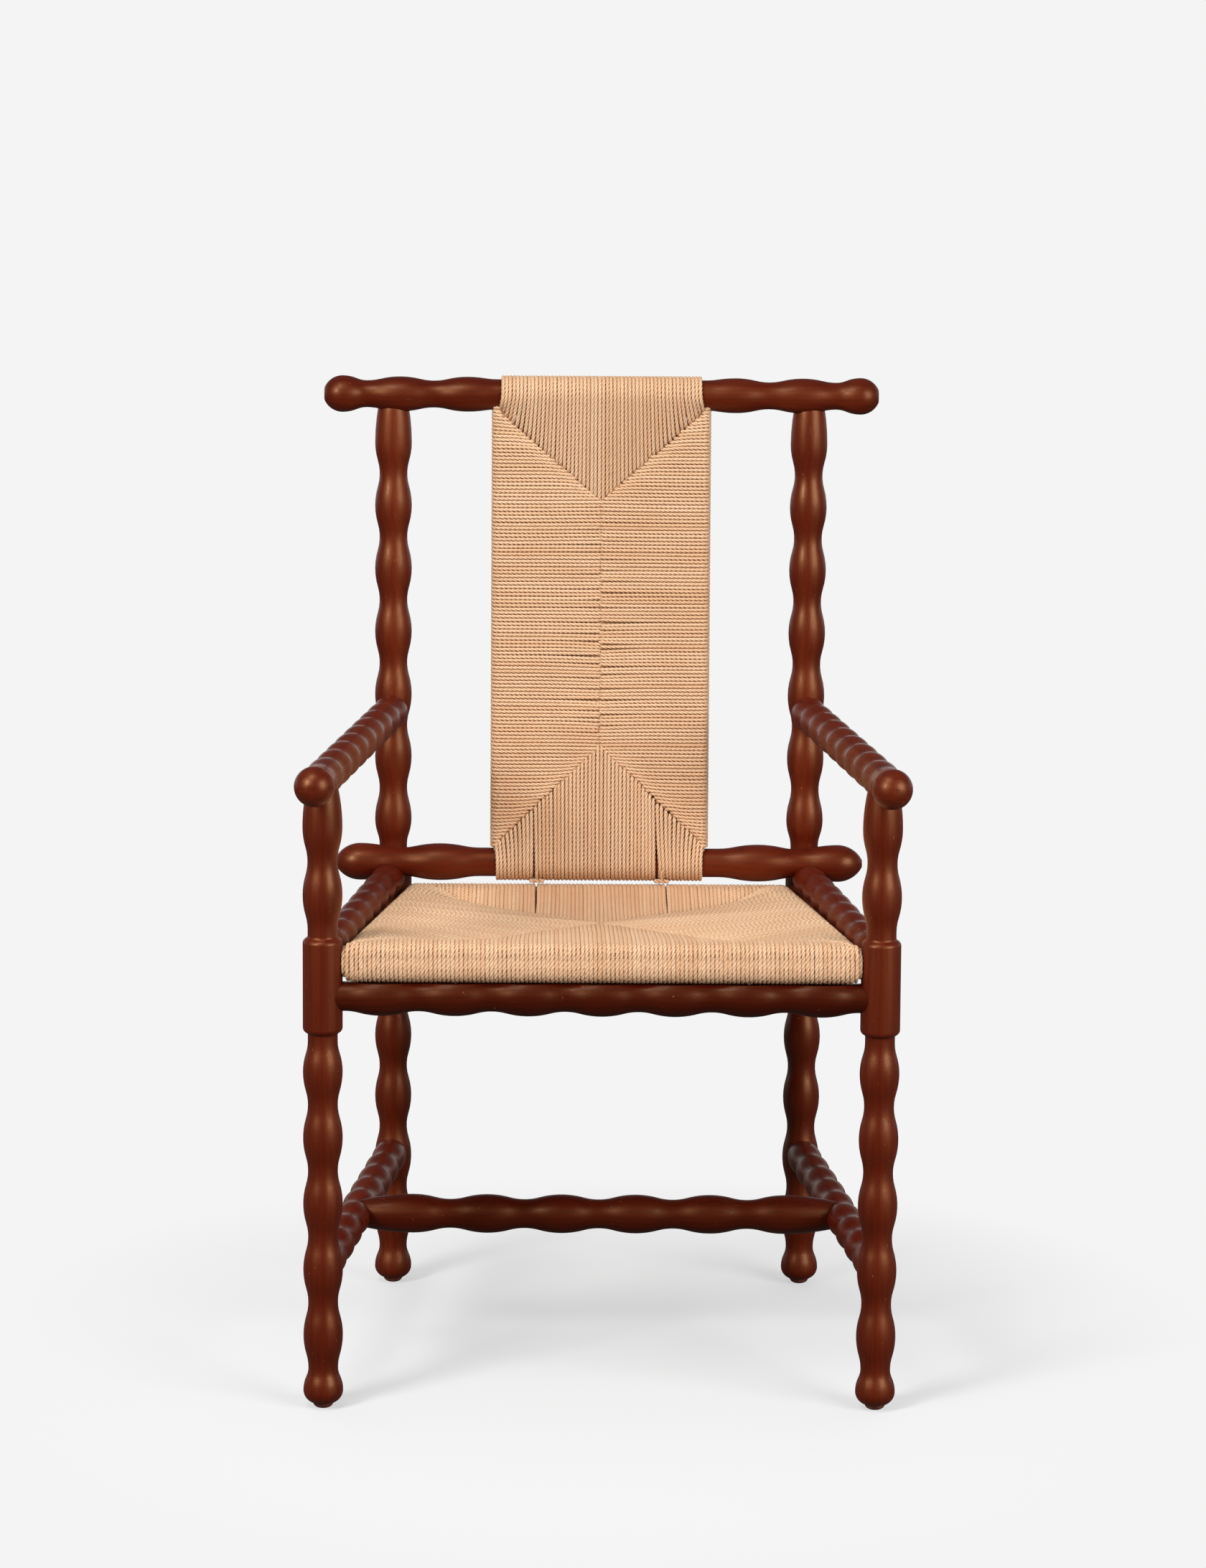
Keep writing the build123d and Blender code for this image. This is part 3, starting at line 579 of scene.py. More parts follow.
@dataclass
class CordSpinner:
    """Spins plied cord along strands and joins them into one mesh."""

    radius: float = 0.00235
    lay: float = 0.0148
    step: float = 0.00200
    plies: int = 3
    groove_depth: float = 0.15

    TONE = "strand_tone"
    GROOVE = "groove"
    BAKE_MAP = "OFBake"
    ROW_MARGIN = 0.06
    END_MARGIN = 0.002
    EASINGS = 2

    @property
    def sides(self) -> int:
        """How many vertices go round a strand: a ridge and a groove for each ply."""
        return 2 * self.plies

    def walk(self, points: Points) -> tuple[Points, Points]:
        """Spaces a strand's points evenly and eases its corners.

        Args:
            points: the corner points of the strand.

        Returns:
            The new points and each one's distance along the strand.
        """
        runs = np.linalg.norm(np.diff(points, axis=0), axis=1)
        reach = np.concatenate([[0.0], np.cumsum(runs)])
        count = max(3, int(round(reach[-1] / self.step)) + 1)
        along = np.linspace(0.0, reach[-1], count)
        even = np.stack([np.interp(along, reach, points[:, axis]) for axis in range(3)], axis=1)
        for _ in range(self.EASINGS):
            even[1:-1] = 0.25 * even[:-2] + 0.5 * even[1:-1] + 0.25 * even[2:]
        return even, along

    def rings(self, strand: Strand) -> tuple[Points, Points]:
        """Sets a ring of vertices round each point of a strand, turning with the lay.

        Args:
            strand: the strand to spin.

        Returns:
            The vertices as (points, sides, 3), and each point's distance along the strand.
        """
        centre, along = self.walk(strand.points)
        way = np.gradient(centre, axis=0)
        way /= np.linalg.norm(way, axis=1, keepdims=True)
        side = np.array(strand.across)[None, :] - way * (way @ np.array(strand.across))[:, None]
        side /= np.linalg.norm(side, axis=1, keepdims=True)
        out = np.cross(way, side)
        angles = np.arange(self.sides) * (2.0 * math.pi / self.sides)
        angle = angles[None, :] + (strand.turn + 2.0 * math.pi * along / self.lay)[:, None]
        girth = np.where(np.arange(self.sides) % 2 == 0, 1.0, 1.0 - self.groove_depth) * self.radius
        ring = side[:, None, :] * np.cos(angle)[..., None] + out[:, None, :] * np.sin(angle)[..., None]
        return centre[:, None, :] + ring * girth[None, :, None], along

    def spin(self, name: str, strands: Sequence[Strand]) -> bpy.types.Object:
        """Spins all the strands of one piece.

        Args:
            name: the piece's name.
            strands: its strands.

        Returns:
            The new object, with tone and groove attributes and a map for baking.
        """
        vertices, corners, sizes, maps, tones, grooves = [], [], [], [], [], []
        base = 0
        spun = [self.rings(strand) for strand in strands]
        longest = max(along[-1] for _, along in spun)
        for row, (strand, (ring, along)) in enumerate(zip(strands, spun)):
            caps = np.stack([ring[0].mean(axis=0), ring[-1].mean(axis=0)])
            vertices.append(np.concatenate([ring.reshape(-1, 3), caps]))
            faces, face_sizes = self._faces(base, len(along))
            corners.append(faces)
            sizes.append(face_sizes)
            reach = self.END_MARGIN + (1.0 - 2.0 * self.END_MARGIN) * along / longest
            low, high = (edge / len(strands) for edge in (row + self.ROW_MARGIN, row + 1.0 - self.ROW_MARGIN))
            maps.append(self._strip(reach, low, high))
            tones.append(np.full(len(vertices[-1]), strand.tone))
            # Marks the ply grooves, which the finish sinks and darkens with painted shade.
            furrow = np.tile((np.arange(self.sides) % 2).astype(float), len(along))
            grooves.append(np.concatenate([furrow, [1.0, 1.0]]))
            base += len(vertices[-1])
        mesh = self._mesh(name, np.concatenate(vertices), np.concatenate(corners), np.concatenate(sizes))
        bake_map = mesh.uv_layers.new(name=self.BAKE_MAP).data
        bake_map.foreach_set("uv", np.concatenate(maps).astype(np.float32).reshape(-1))
        for label, values in ((self.TONE, tones), (self.GROOVE, grooves)):
            layer = mesh.attributes.new(label, "FLOAT", "POINT")
            layer.data.foreach_set("value", np.concatenate(values).astype(np.float32))
        return set_out(name, mesh)

    def _faces(self, base: int, count: int) -> tuple[Points, Points]:
        """Joins the rings of a strand into a closed tube.

        Args:
            base: the number of the strand's first vertex.
            count: how many rings it has; its two cap points come after them.

        Returns:
            The corners of its faces, and how many corners each face has.
        """
        here = np.arange(self.sides)
        hop = (here + 1) % self.sides
        rows = base + (np.arange(count - 1) * self.sides)[:, None]
        first, second = rows + here, rows + hop
        quads = np.stack([first, second, second + self.sides, first + self.sides], axis=-1)
        last, cap = base + (count - 1) * self.sides, base + count * self.sides
        near = np.stack([np.full(self.sides, cap), base + hop, base + here], axis=-1)
        far = np.stack([np.full(self.sides, cap + 1), last + here, last + hop], axis=-1)
        corners = np.concatenate([part.reshape(-1) for part in (quads, near, far)])
        return corners, np.repeat([4, 3], [(count - 1) * self.sides, 2 * self.sides])

    def _strip(self, reach: Points, low: float, high: float) -> Points:
        """Lays the faces of a strand out as one strip of the map for baking.

        Args:
            reach: how far along the map each ring lies.
            low: the strip's lower edge.
            high: the strip's upper edge.

        Returns:
            A place on the map for each corner of the faces.
        """
        level = low + (high - low) * np.arange(self.sides + 1) / self.sides
        tube = np.empty((len(reach) - 1, self.sides, 4, 2))
        tube[..., 0] = np.stack([reach[:-1], reach[:-1], reach[1:], reach[1:]], axis=-1)[:, None, :]
        tube[..., 1] = np.stack([level[:-1], level[1:], level[1:], level[:-1]], axis=-1)
        caps = np.empty((2 * self.sides, 3, 2))
        caps[: self.sides, :, 0], caps[self.sides :, :, 0] = reach[0], reach[-1]
        middle = (level[:-1] + level[1:]) / 2
        caps[..., 1] = np.tile(np.stack([middle, level[1:], level[:-1]], axis=-1), (2, 1))
        return np.concatenate([tube.reshape(-1, 2), caps.reshape(-1, 2)])

    @staticmethod
    def _mesh(name: str, vertices: Points, corners: Points, sizes: Points) -> bpy.types.Mesh:
        """Makes a smooth mesh.

        Args:
            name: the mesh's name.
            vertices: its vertices.
            corners: the vertex at each corner of its faces.
            sizes: how many corners each face has.

        Returns:
            The mesh.
        """
        mesh = bpy.data.meshes.new(name)
        mesh.vertices.add(len(vertices))
        mesh.vertices.foreach_set("co", vertices.astype(np.float32).reshape(-1))
        mesh.loops.add(len(corners))
        mesh.loops.foreach_set("vertex_index", corners.astype(np.int32))
        mesh.polygons.add(len(sizes))
        starts = np.concatenate([[0], np.cumsum(sizes)[:-1]])
        mesh.polygons.foreach_set("loop_start", starts.astype(np.int32))
        mesh.update(calc_edges=True)
        mesh.validate()
        mesh.shade_smooth()
        return mesh


def filled(section: Points, longest: float = 0.012) -> Points:
    """Puts more points on the long runs of a section.

    Args:
        section: its corner points.
        longest: about the longest run that is left between two points.

    Returns:
        The old points and the new ones, in order.
    """
    rows = [section[:1]]
    for first, second in zip(section[:-1], section[1:]):
        count = max(1, int(np.linalg.norm(second - first) / longest))
        share = np.linspace(0.0, 1.0, count + 1)[1:, None]
        rows.append(first + (second - first) * share)
    return np.concatenate(rows)


def wander(across: float, along: Points, seed: float) -> Points:
    """Slow sideways drift that neighbouring strands share.

    Args:
        across: where the strand lies among its neighbours.
        along: distances along the strand.
        seed: a number that sets one field apart from another.

    Returns:
        A drift between about -1 and 1 for each distance.
    """
    first = np.sin(across * 61.0 + seed * 1.7 + 2.0 * np.sin(along * 23.0 + seed))
    second = np.sin(along * 47.0 + across * 19.0 + seed * 3.1)
    third = np.sin(across * 173.0 - along * 31.0 + seed * 0.6)
    return 0.45 * first + 0.3 * second + 0.25 * third


@dataclass
class EdgeWrap:
    """The way a strand passes over a square-edged bar, from its upper end to its lower end.

    Distances inward are from the outer surface of the finished edge, and heights are from the
    middle of its thickness.
    """

    half_thickness: float
    corner: float
    bar_inner: float
    radius: float
    bends: int = 5
    clear: float = 0.0004
    tuck: float = 0.0042
    tuck_share: float = 0.45
    tuck_reach: float = 0.0010
    tuck_bend: float = 0.0006
    least_run: float = 0.001

    @property
    def top(self) -> float:
        """Height of a strand's axis where it lies flat on the bar."""
        return self.half_thickness - self.radius

    def section(self, inward: float, height: float, shy: float = 0.0) -> Points:
        """Corner points of a strand, as (inward, height) pairs.

        Args:
            inward: how far in the strand's ends lie.
            height: how high the upper end lies; the lower end mirrors it.
            shy: how far the whole wrap stands in from the outer surface.

        Returns:
            The points from the upper end, over the bar, to the lower end.
        """
        inward = max(inward, shy + self.corner + self.clear)
        sink = min(self.tuck, max(0.0, height + self.clear))
        upper = [
            (inward + self.tuck_reach, height - sink),
            (inward + self.tuck_bend, height - self.tuck_share * sink),
            (inward - self.tuck_bend, height),
        ]
        if inward > self.bar_inner + shy + self.least_run:
            upper.append((self.bar_inner + shy, self.top))
        upper.append((shy + self.corner, self.top))
        bend = self.corner - self.radius
        for turn in np.linspace(0.0, math.pi / 2.0, self.bends)[1:]:
            out, down = bend * math.sin(turn), bend * (1.0 - math.cos(turn))
            upper.append((shy + self.corner - out, self.top - down))
        lower = [(place, -level) for place, level in reversed(upper)]
        return np.array(upper + lower)


@dataclass(frozen=True)
class Slit:
    """A place where the neighbouring strands of one run stand apart."""

    place: float
    opening: float
    spread: float = 0.010

    def push(self, x: float) -> float:
        """How far a strand that lies at x moves aside to open it."""
        away = x - self.place
        return self.opening * math.copysign(math.exp(-abs(away) / self.spread), away)


class Weave:
    """What the two weaves share: a flat plane of their own, and a source of random numbers."""

    PAD_THICKNESS = 0.0012
    FULL_TURN = 6.28

    origin: Points
    along_way: Points
    out_way: Points
    random: np.random.Generator

    def world(self, local: Points) -> Points:
        """Turns places on the weave into the chair's own coordinates.

        Args:
            local: places as (across, along, out of the weave).

        Returns:
            The same places as (x, y, z).
        """
        across, along, out = local[:, :1], local[:, 1:2], local[:, 2:3]
        return self.origin + across * np.array(SIDEWAYS) + along * self.along_way + out * self.out_way

    def strand(self, local: Points, across: Vector) -> Strand:
        """Places one strand and gives it its own tone and turn.

        Args:
            local: its points on the weave.
            across: the way that lies across it.

        Returns:
            The strand.
        """
        points = self.world(local)
        tone = self.random.uniform(0.0, 1.0)
        return Strand(points, across, tone, self.random.uniform(0.0, self.FULL_TURN))

    def pad(self, name: str, corners: Sequence[tuple[float, float]]) -> bpy.types.Object:
        """Makes the flat pad of folded paper that lies between the two faces of the weave.

        Args:
            name: the piece's name.
            corners: its corners, as (across, along).

        Returns:
            The new object.
        """
        half, count = self.PAD_THICKNESS / 2, len(corners)
        faces = [tuple(range(count)), tuple(reversed(range(count, 2 * count)))]
        faces += [(i, count + i, count + (i + 1) % count, (i + 1) % count) for i in range(count)]
        points = self.world(np.array([(*corner, out) for out in (half, -half) for corner in corners]))
        mesh = bpy.data.meshes.new(name)
        mesh.from_pydata(points.tolist(), [], faces)
        return set_out(name, mesh)


@dataclass
class SeatWeave(Weave):
    """The loose seat: cord wound over a slip frame so that its four sides meet in mitres."""

    front_half: float = 0.2575
    back_half: float = 0.2080
    depth: float = 0.444
    thickness: float = 0.042
    front_y: float = -0.2168
    front_top: float = 0.4783
    drop: float = 0.0263
    edge: float = 0.0120
    corner: float = 0.011
    bar_inner: float = 0.0284
    mitre_centre: float = 0.258
    front_strands: int = 120
    back_strands: int = 98
    side_front_strands: int = 60
    side_back_strands: int = 49
    flat_run: float = 0.024
    front_sink_run: float = 0.140
    back_sink_run: float = 0.066
    middle_height: float = 0.0022
    place_jitter: float = 0.00012
    mitre_jitter: float = 0.0006
    drift: float = 0.0005
    drift_run: float = 0.12
    end_seed_step: float = 7.0
    side_seed: float = 3.0
    flare: float = 0.0030
    flare_power: int = 14
    flare_run: float = 0.008
    end_sag: float = 0.45
    side_sag: float = 1.7
    slits: tuple[Slit, ...] = (Slit(-0.066, 0.0011), Slit(0.073, 0.0011))
    slit_depth: float = 0.008
    slit_start: float = 0.012
    # Weaker painted shade in the ply grooves of the side strands.
    side_groove_shade: float = 0.34
    side_relief: float = 0.00035
    pad_clear: float = 0.0006
    seed: int = 11
    spinner: CordSpinner = field(default_factory=lambda: CordSpinner(radius=0.00254, step=0.00216))
    side_spinner: CordSpinner = field(
        default_factory=lambda: CordSpinner(radius=0.00247, step=0.00150, groove_depth=0.08)
    )

    def __post_init__(self) -> None:
        """Works out the seat's plane and the wrap round its edge."""
        slope = math.atan(self.drop / self.depth)
        self.origin = np.array([0.0, self.front_y, self.front_top - self.thickness / 2])
        self.along_way = np.array([0.0, math.cos(slope), -math.sin(slope)])
        self.out_way = np.array([0.0, math.sin(slope), math.cos(slope)])
        self.wrap = EdgeWrap(self.thickness / 2, self.edge, self.bar_inner, self.spinner.radius)
        self.random = np.random.default_rng(self.seed)

    def half_width(self, back: float) -> float:
        """Half the seat's width at a distance back from its front edge."""
        return self.front_half + (self.back_half - self.front_half) * back / self.depth

    def mitre_height(self, reach: float, end: End) -> float:
        """Height of the mitre at a distance in from a corner of the seat.

        Args:
            reach: the distance from the front or back edge.
            end: near for a front corner, far for a back one.

        Returns:
            The height over the middle of the seat's thickness.
        """
        run = self.front_sink_run if end is End.NEAR else self.back_sink_run
        share = min(1.0, max(0.0, (reach - self.flat_run) / (run - self.flat_run)))
        eased = share * share * (3.0 - 2.0 * share)
        return self.wrap.top + (self.middle_height - self.wrap.top) * eased

    def rounding(self, past: float) -> float:
        """How far the outline curves in beside a corner, at a distance from the side edge."""
        over = max(0.0, self.corner - past)
        return self.corner - math.sqrt(max(0.0, self.corner**2 - over**2))

    def sunk(self, past: float) -> float:
        """How far the flat faces have curved away beside a corner.

        Args:
            past: the distance from the next edge.

        Returns:
            The drop of each face towards the middle of the seat's thickness.
        """
        bend = self.edge - self.spinner.radius
        lean = min(1.0, max(0.0, (self.edge - past) / bend))
        return bend * (1.0 - math.sqrt(1.0 - lean**2))

    def _drifted(self, across: float, inward: Points, seed: float) -> Points:
        """Sideways drift of a strand, which grows from nothing at the seat's edge.

        Args:
            across: where the strand lies among its neighbours.
            inward: distances in from the edge.
            seed: a number that sets one run of strands apart from another.

        Returns:
            The drift at each distance.
        """
        return self.drift * wander(across, inward, seed) * np.clip(inward / self.drift_run, 0.0, 1.0)

    def _end_strands(self, end: End) -> list[Strand]:
        """Lays the strands that wrap the front or the back of the slip frame.

        Args:
            end: near for the front, far for the back.

        Returns:
            The strands, from left to right.
        """
        near = end is End.NEAR
        half = self.front_half if near else self.back_half
        count = self.front_strands if near else self.back_strands
        reach = self.mitre_centre if near else self.depth - self.mitre_centre
        pitch = 2 * half / count
        strands = []
        for index in range(count):
            x = (index + 0.5) * pitch - half + self.random.normal(0.0, self.place_jitter)
            inward = reach * (1.0 - abs(x) / half) + self.random.normal(0.0, self.mitre_jitter)
            height = self.mitre_height(inward, end)
            section = self.wrap.section(inward, height, self.rounding(half - abs(x)))
            section[:, 1] *= 1.0 - self.end_sag * self.sunk(half - abs(x)) / self.wrap.top
            section = filled(section)
            side = x + self._drifted(x, section[:, 0], self.seed + end.value * self.end_seed_step)
            if near:
                bowed = self.flare * math.copysign((abs(x) / half) ** self.flare_power, x)
                side = side + bowed * np.exp(-section[:, 0] / self.flare_run)
            else:
                side = side + self._parting(x, section)
            back = section[:, 0] if near else self.depth - section[:, 0]
            local = np.stack([side, back, section[:, 1]], axis=1)
            strands.append(self.strand(local, SIDEWAYS))
        return strands

    def _parting(self, x: float, section: Points) -> Points:
        """Sideways shift that opens two slits in the upper face of the back's strands.

        Args:
            x: where a strand lies across the seat.
            section: its points, as (inward, height) pairs.

        Returns:
            The shift of each point.
        """
        shift = np.zeros(len(section))
        for slit in self.slits:
            shift += slit.push(x)
        high = np.clip(section[:, 1] / self.slit_depth, 0.0, 1.0)
        return shift * high * np.clip(section[:, 0] / self.slit_start, 0.0, 1.0)

    def _side_strands(self, side: Side) -> list[Strand]:
        """Lays the strands that wrap one side of the slip frame.

        Args:
            side: the side of the chair.

        Returns:
            The strands, from front to back, without the first and the last, which the corners hide.
        """
        strands = []
        front = (np.arange(self.side_front_strands) + 0.5) * self.mitre_centre / self.side_front_strands
        rest = self.depth - self.mitre_centre
        back = self.mitre_centre + (np.arange(self.side_back_strands) + 0.5) * rest / self.side_back_strands
        for place in np.concatenate([front, back])[1:-1]:
            place += self.random.normal(0.0, self.place_jitter)
            edge = self.half_width(place)
            beside = min(place, self.depth - place)
            if place < self.mitre_centre:
                mitre = self.front_half * (1.0 - place / self.mitre_centre)
                height = self.mitre_height(place, End.NEAR)
            else:
                mitre = self.back_half * (place - self.mitre_centre) / rest
                height = self.mitre_height(self.depth - place, End.FAR)
            inward = edge - mitre + self.random.normal(0.0, self.mitre_jitter)
            section = self.wrap.section(inward, height, self.rounding(beside))
            section[:, 1] *= 1.0 - self.side_sag * self.sunk(beside) / self.wrap.top
            section = filled(section)
            back = place + self._drifted(place, section[:, 0], self.seed + self.side_seed + side.value)
            local = np.stack([side.value * (edge - section[:, 0]), back, section[:, 1]], axis=1)
            strands.append(self.strand(local, Vector(self.along_way)))
        return strands

    def build(self, effects: Effects, finish: PaperCord) -> list[bpy.types.Object]:
        """Weaves the seat.

        Args:
            effects: the shared node groups.
            finish: the cord's finish.

        Returns:
            The pieces that stand for the seat's weave.
        """
        ends = [
            self.spinner.spin("seat_cord_front", self._end_strands(End.NEAR)),
            self.spinner.spin("seat_cord_back", self._end_strands(End.FAR)),
        ]
        hand_over(ends, finish.material(effects, "seat_cord", seed=2.0), "seat_weave")
        # The side strands get weaker painted shade in their grooves and a shallower bump.
        side_cord_finish = replace(finish, groove_shade_strength=self.side_groove_shade, relief=self.side_relief)
        sides = []
        for side in Side:
            strands, turn = self._side_strands(side), self.side_front_strands - 1
            for share, part in (("fore", strands[:turn]), ("aft", strands[turn:])):
                sides.append(self.side_spinner.spin(f"seat_cord_{side.name.lower()}_{share}", part))
        hand_over(sides, side_cord_finish.material(effects, "seat_side_cord", seed=3.0), "seat_weave")
        stuffing = self.pad("seat_stuffing", self._opening())
        paper = FoldedPaper().material(effects, "seat_stuffing_paper", seed=4.0)
        hand_over([stuffing], paper, "seat_weave")
        return [*ends, *sides, stuffing]

    def _opening(self) -> list[tuple[float, float]]:
        """Finds the corners of the space just inside the slip frame.

        Returns:
            The corners, as (across, back).
        """
        clear = self.bar_inner + self.pad_clear
        front, back = self.half_width(clear) - clear, self.half_width(self.depth - clear) - clear
        return [(-front, clear), (front, clear), (back, self.depth - clear), (-back, self.depth - clear)]


@dataclass(frozen=True)
class Wedge:
    """A place where neighbouring level strands stand apart at the seam and close again outward."""

    side: Side
    height: float
    opening: float
    reach: float
    spread: float

    def shift(self, up: float, inward: Points) -> Points:
        """Moves a strand up or down the panel to make room.

        Args:
            up: where the strand lies on the panel.
            inward: distances from the seam along the strand.

        Returns:
            How far each point moves up.
        """
        away = up - self.height
        push = 0.5 * self.opening * math.copysign(1.0, away) * math.exp(-abs(away) / self.spread)
        return push * np.exp(-inward / self.reach)


@dataclass(frozen=True)
class Slack:
    """How the places where level strands stand apart are scattered up the seam."""

    low: float = 0.142
    high: float = 0.400
    stagger: float = 0.004
    widest_share: float = 0.28
    narrowing: float = 0.45
    least_opening: float = 0.0010
    extra_opening: float = 0.0028
    extra_range: tuple[float, float] = (0.2, 1.0)
    extra_power: float = 1.5
    reach_range: tuple[float, float] = (0.014, 0.036)
    spread: float = 0.0055
    step_range: tuple[float, float] = (0.006, 0.017)

    def wedges(self, side: Side, random: np.random.Generator) -> list[Wedge]:
        """Scatters the wedges of one side of the seam.

        Args:
            side: the side of the seam.
            random: where the random numbers come from.

        Returns:
            The wedges, from the lowest up, widest a little over the lower triangle's point.
        """
        wedges = []
        height = self.low + self.stagger * (side.value + 1)
        while height < self.high:
            share = (height - self.low) / (self.high - self.low)
            widening = math.exp(-(((share - self.widest_share) / self.narrowing) ** 2))
            extra = self.extra_opening * random.uniform(*self.extra_range) ** self.extra_power
            opening = (self.least_opening + extra) * widening
            wedges.append(Wedge(side, height, opening, random.uniform(*self.reach_range), self.spread))
            height += random.uniform(*self.step_range)
        return wedges


@dataclass
class BackWeave(Weave):
    """The back panel: cord wound over two stiles and the two back rails, with a middle seam."""

    lower_radius: float = 0.0155
    crest_radius: float = 0.0163
    half_width: float = 0.1182
    rail_half_width: float = 0.1120
    crest_half_width: float = 0.1079
    half_thickness: float = 0.0136
    corner: float = 0.0081
    bar_inner: float = 0.0262
    foot: float = 0.0166
    head: float = 0.0104
    upper_point: float = 0.1135
    lower_point: float = 0.1275
    upright_strands: int = 54
    level_strands: int = 121
    middle_height: float = 0.0024
    mitre_jitter: float = 0.0006
    mitre_overlap: float = 0.0014
    rail_clear: float = 0.0006
    tucked: tuple[tuple[float, float], ...] = ((-0.0010, -0.0038), (-0.0006, -0.0018), (0.0008, 0.0))
    arc_points: int = 15
    least_reach: float = 0.03
    drift: float = 0.0003
    upright_drift: float = 0.7
    level_drift_run: float = 0.10
    level_seed: float = 5.0
    fan: float = 0.0035
    slits: tuple[Slit, Slit] = (Slit(-0.0690, 0.0010), Slit(0.0640, 0.0018))
    slit_fades: tuple[float, float] = (0.55, 0.40)
    slit_depth: float = 0.006
    slit_lean: float = 0.0022
    slit_lean_spread: float = 0.016
    least_run: float = 0.001
    level_overlap: float = 0.0010
    seam_gap: float = 0.0005
    seam_jitter: float = 0.0008
    droop: float = 0.0022
    droop_height: float = 0.19
    droop_spread: float = 0.11
    mitre_bend: float = 0.0022
    bend_run: float = 0.009
    bend_growth: float = 0.02
    upright_jitter: float = 0.0001
    level_jitter: float = 0.00006
    level_margin: float = 0.002
    pad_clear: tuple[float, float] = (0.0006, 0.0002)
    slack: Slack = Slack()
    seed: int = 29
    spinner: CordSpinner = field(default_factory=CordSpinner)

    def __post_init__(self) -> None:
        """Works out the panel's plane and the wrap round its stiles."""
        rise = np.array([0.0, CREST_AXIS[0] - LOWER_BACK_AXIS[0], CREST_AXIS[1] - LOWER_BACK_AXIS[1]])
        self.length = float(np.linalg.norm(rise))
        self.along_way = rise / self.length
        self.out_way = np.cross(np.array(SIDEWAYS), self.along_way)
        self.origin = np.array([0.0, *LOWER_BACK_AXIS])
        self.wrap = EdgeWrap(self.half_thickness, self.corner, self.bar_inner, self.spinner.radius)
        self.random = np.random.default_rng(self.seed)
        self.wedges = [wedge for side in Side for wedge in self.slack.wedges(side, self.random)]

    def sheet_height(self, x: float) -> float:
        """How far the strands' axes stand in front of the panel's middle at a place across it."""
        share = min(1.0, abs(x) / (self.half_width - self.bar_inner))
        return self.middle_height + (self.wrap.top - self.middle_height) * share

    def upright(self, x: float, end: End) -> Strand:
        """One upright strand, wound over the crest rail or the lower rail.

        Args:
            x: where the strand lies at its mitre.
            end: near for the lower rail, far for the crest rail.

        Returns:
            The strand.
        """
        upper = end is End.FAR
        radius = (self.crest_radius if upper else self.lower_radius) + self.spinner.radius
        point = self.upper_point if upper else self.lower_point
        corner = self.head if upper else self.foot
        reach = point + (corner - point) * min(1.0, abs(x) / self.rail_half_width)
        height = self.sheet_height(x)
        least = math.sqrt(max(0.0, (radius + self.rail_clear) ** 2 - height**2))
        reach = max(reach + self.mitre_overlap + self.random.normal(0.0, self.mitre_jitter), least)
        lean = math.atan2(height, -reach)
        touch = lean - math.acos(min(1.0, radius / np.hypot(reach, height)))
        arc = np.linspace(touch, -touch, self.arc_points)
        section = [(past - reach, height + over) for past, over in self.tucked]
        section += [(radius * math.cos(turn), radius * math.sin(turn)) for turn in arc]
        section += [(place, -level) for place, level in reversed(section[: len(self.tucked)])]
        section = filled(np.array(section))
        rail_x = x * (self.crest_half_width / self.rail_half_width if upper else 1.0)
        share = np.clip(-section[:, 0] / max(reach, self.least_reach), 0.0, 1.0)
        side = rail_x + (x - rail_x) * share
        if not upper:
            side = side + self._parting(x, share) * np.clip(section[:, 1] / self.slit_depth, 0.0, 1.0)
        sway = self.drift * self.upright_drift
        side = side + sway * wander(x, section[:, 0], self.seed + end.value) * share
        side = side + self.fan * (x / self.rail_half_width) ** 3 * share**2
        up = self.length + section[:, 0] if upper else -section[:, 0]
        return self.strand(np.stack([side, up, section[:, 1]], axis=1), SIDEWAYS)

    def _parting(self, x: float, share: Points) -> Points:
        """Sideways shift that opens the two slits over the knots below the panel.

        Args:
            x: where a strand lies across the panel.
            share: how far along it each point lies, from the lower rail to the mitre.

        Returns:
            The shift of each point.
        """
        shift = np.zeros_like(share)
        for slit, fade in zip(self.slits, self.slit_fades):
            shift = shift + slit.push(x) * np.exp(-share / fade)
        away = (x - self.slits[1].place) / self.slit_lean_spread
        return shift - self.slit_lean * math.exp(-(away**2)) * share

    def level(self, up: float, side: Side) -> Strand:
        """One level strand, wound over a stile from the seam or a mitre.

        Args:
            up: where the strand lies on the panel.
            side: the side of the seam.

        Returns:
            The strand.
        """
        top_gap, low_gap = self.length - up, up
        mitre = 0.0
        if top_gap < self.upper_point:
            mitre = self.half_width * (self.upper_point - top_gap) / (self.upper_point - self.head)
        elif low_gap < self.lower_point:
            mitre = self.half_width * (self.lower_point - low_gap) / (self.lower_point - self.foot)
        mitre = min(mitre, self.half_width - self.corner - self.least_run)
        overlap = self.level_overlap if mitre > 0.0 else -self.seam_gap
        inward = self.half_width - mitre + overlap + self.random.normal(0.0, self.seam_jitter)
        section = filled(self.wrap.section(inward, self.sheet_height(mitre)))
        share = np.clip(section[:, 0] / self.level_drift_run, 0.0, 1.0)
        drift = self.drift * wander(up, section[:, 0], self.seed + self.level_seed + side.value) * share
        moved = up + drift + self._slack(up, mitre, section[:, 0], side)
        local = np.stack([side.value * (self.half_width - section[:, 0]), moved, section[:, 1]], axis=1)
        return self.strand(local, Vector(self.along_way))

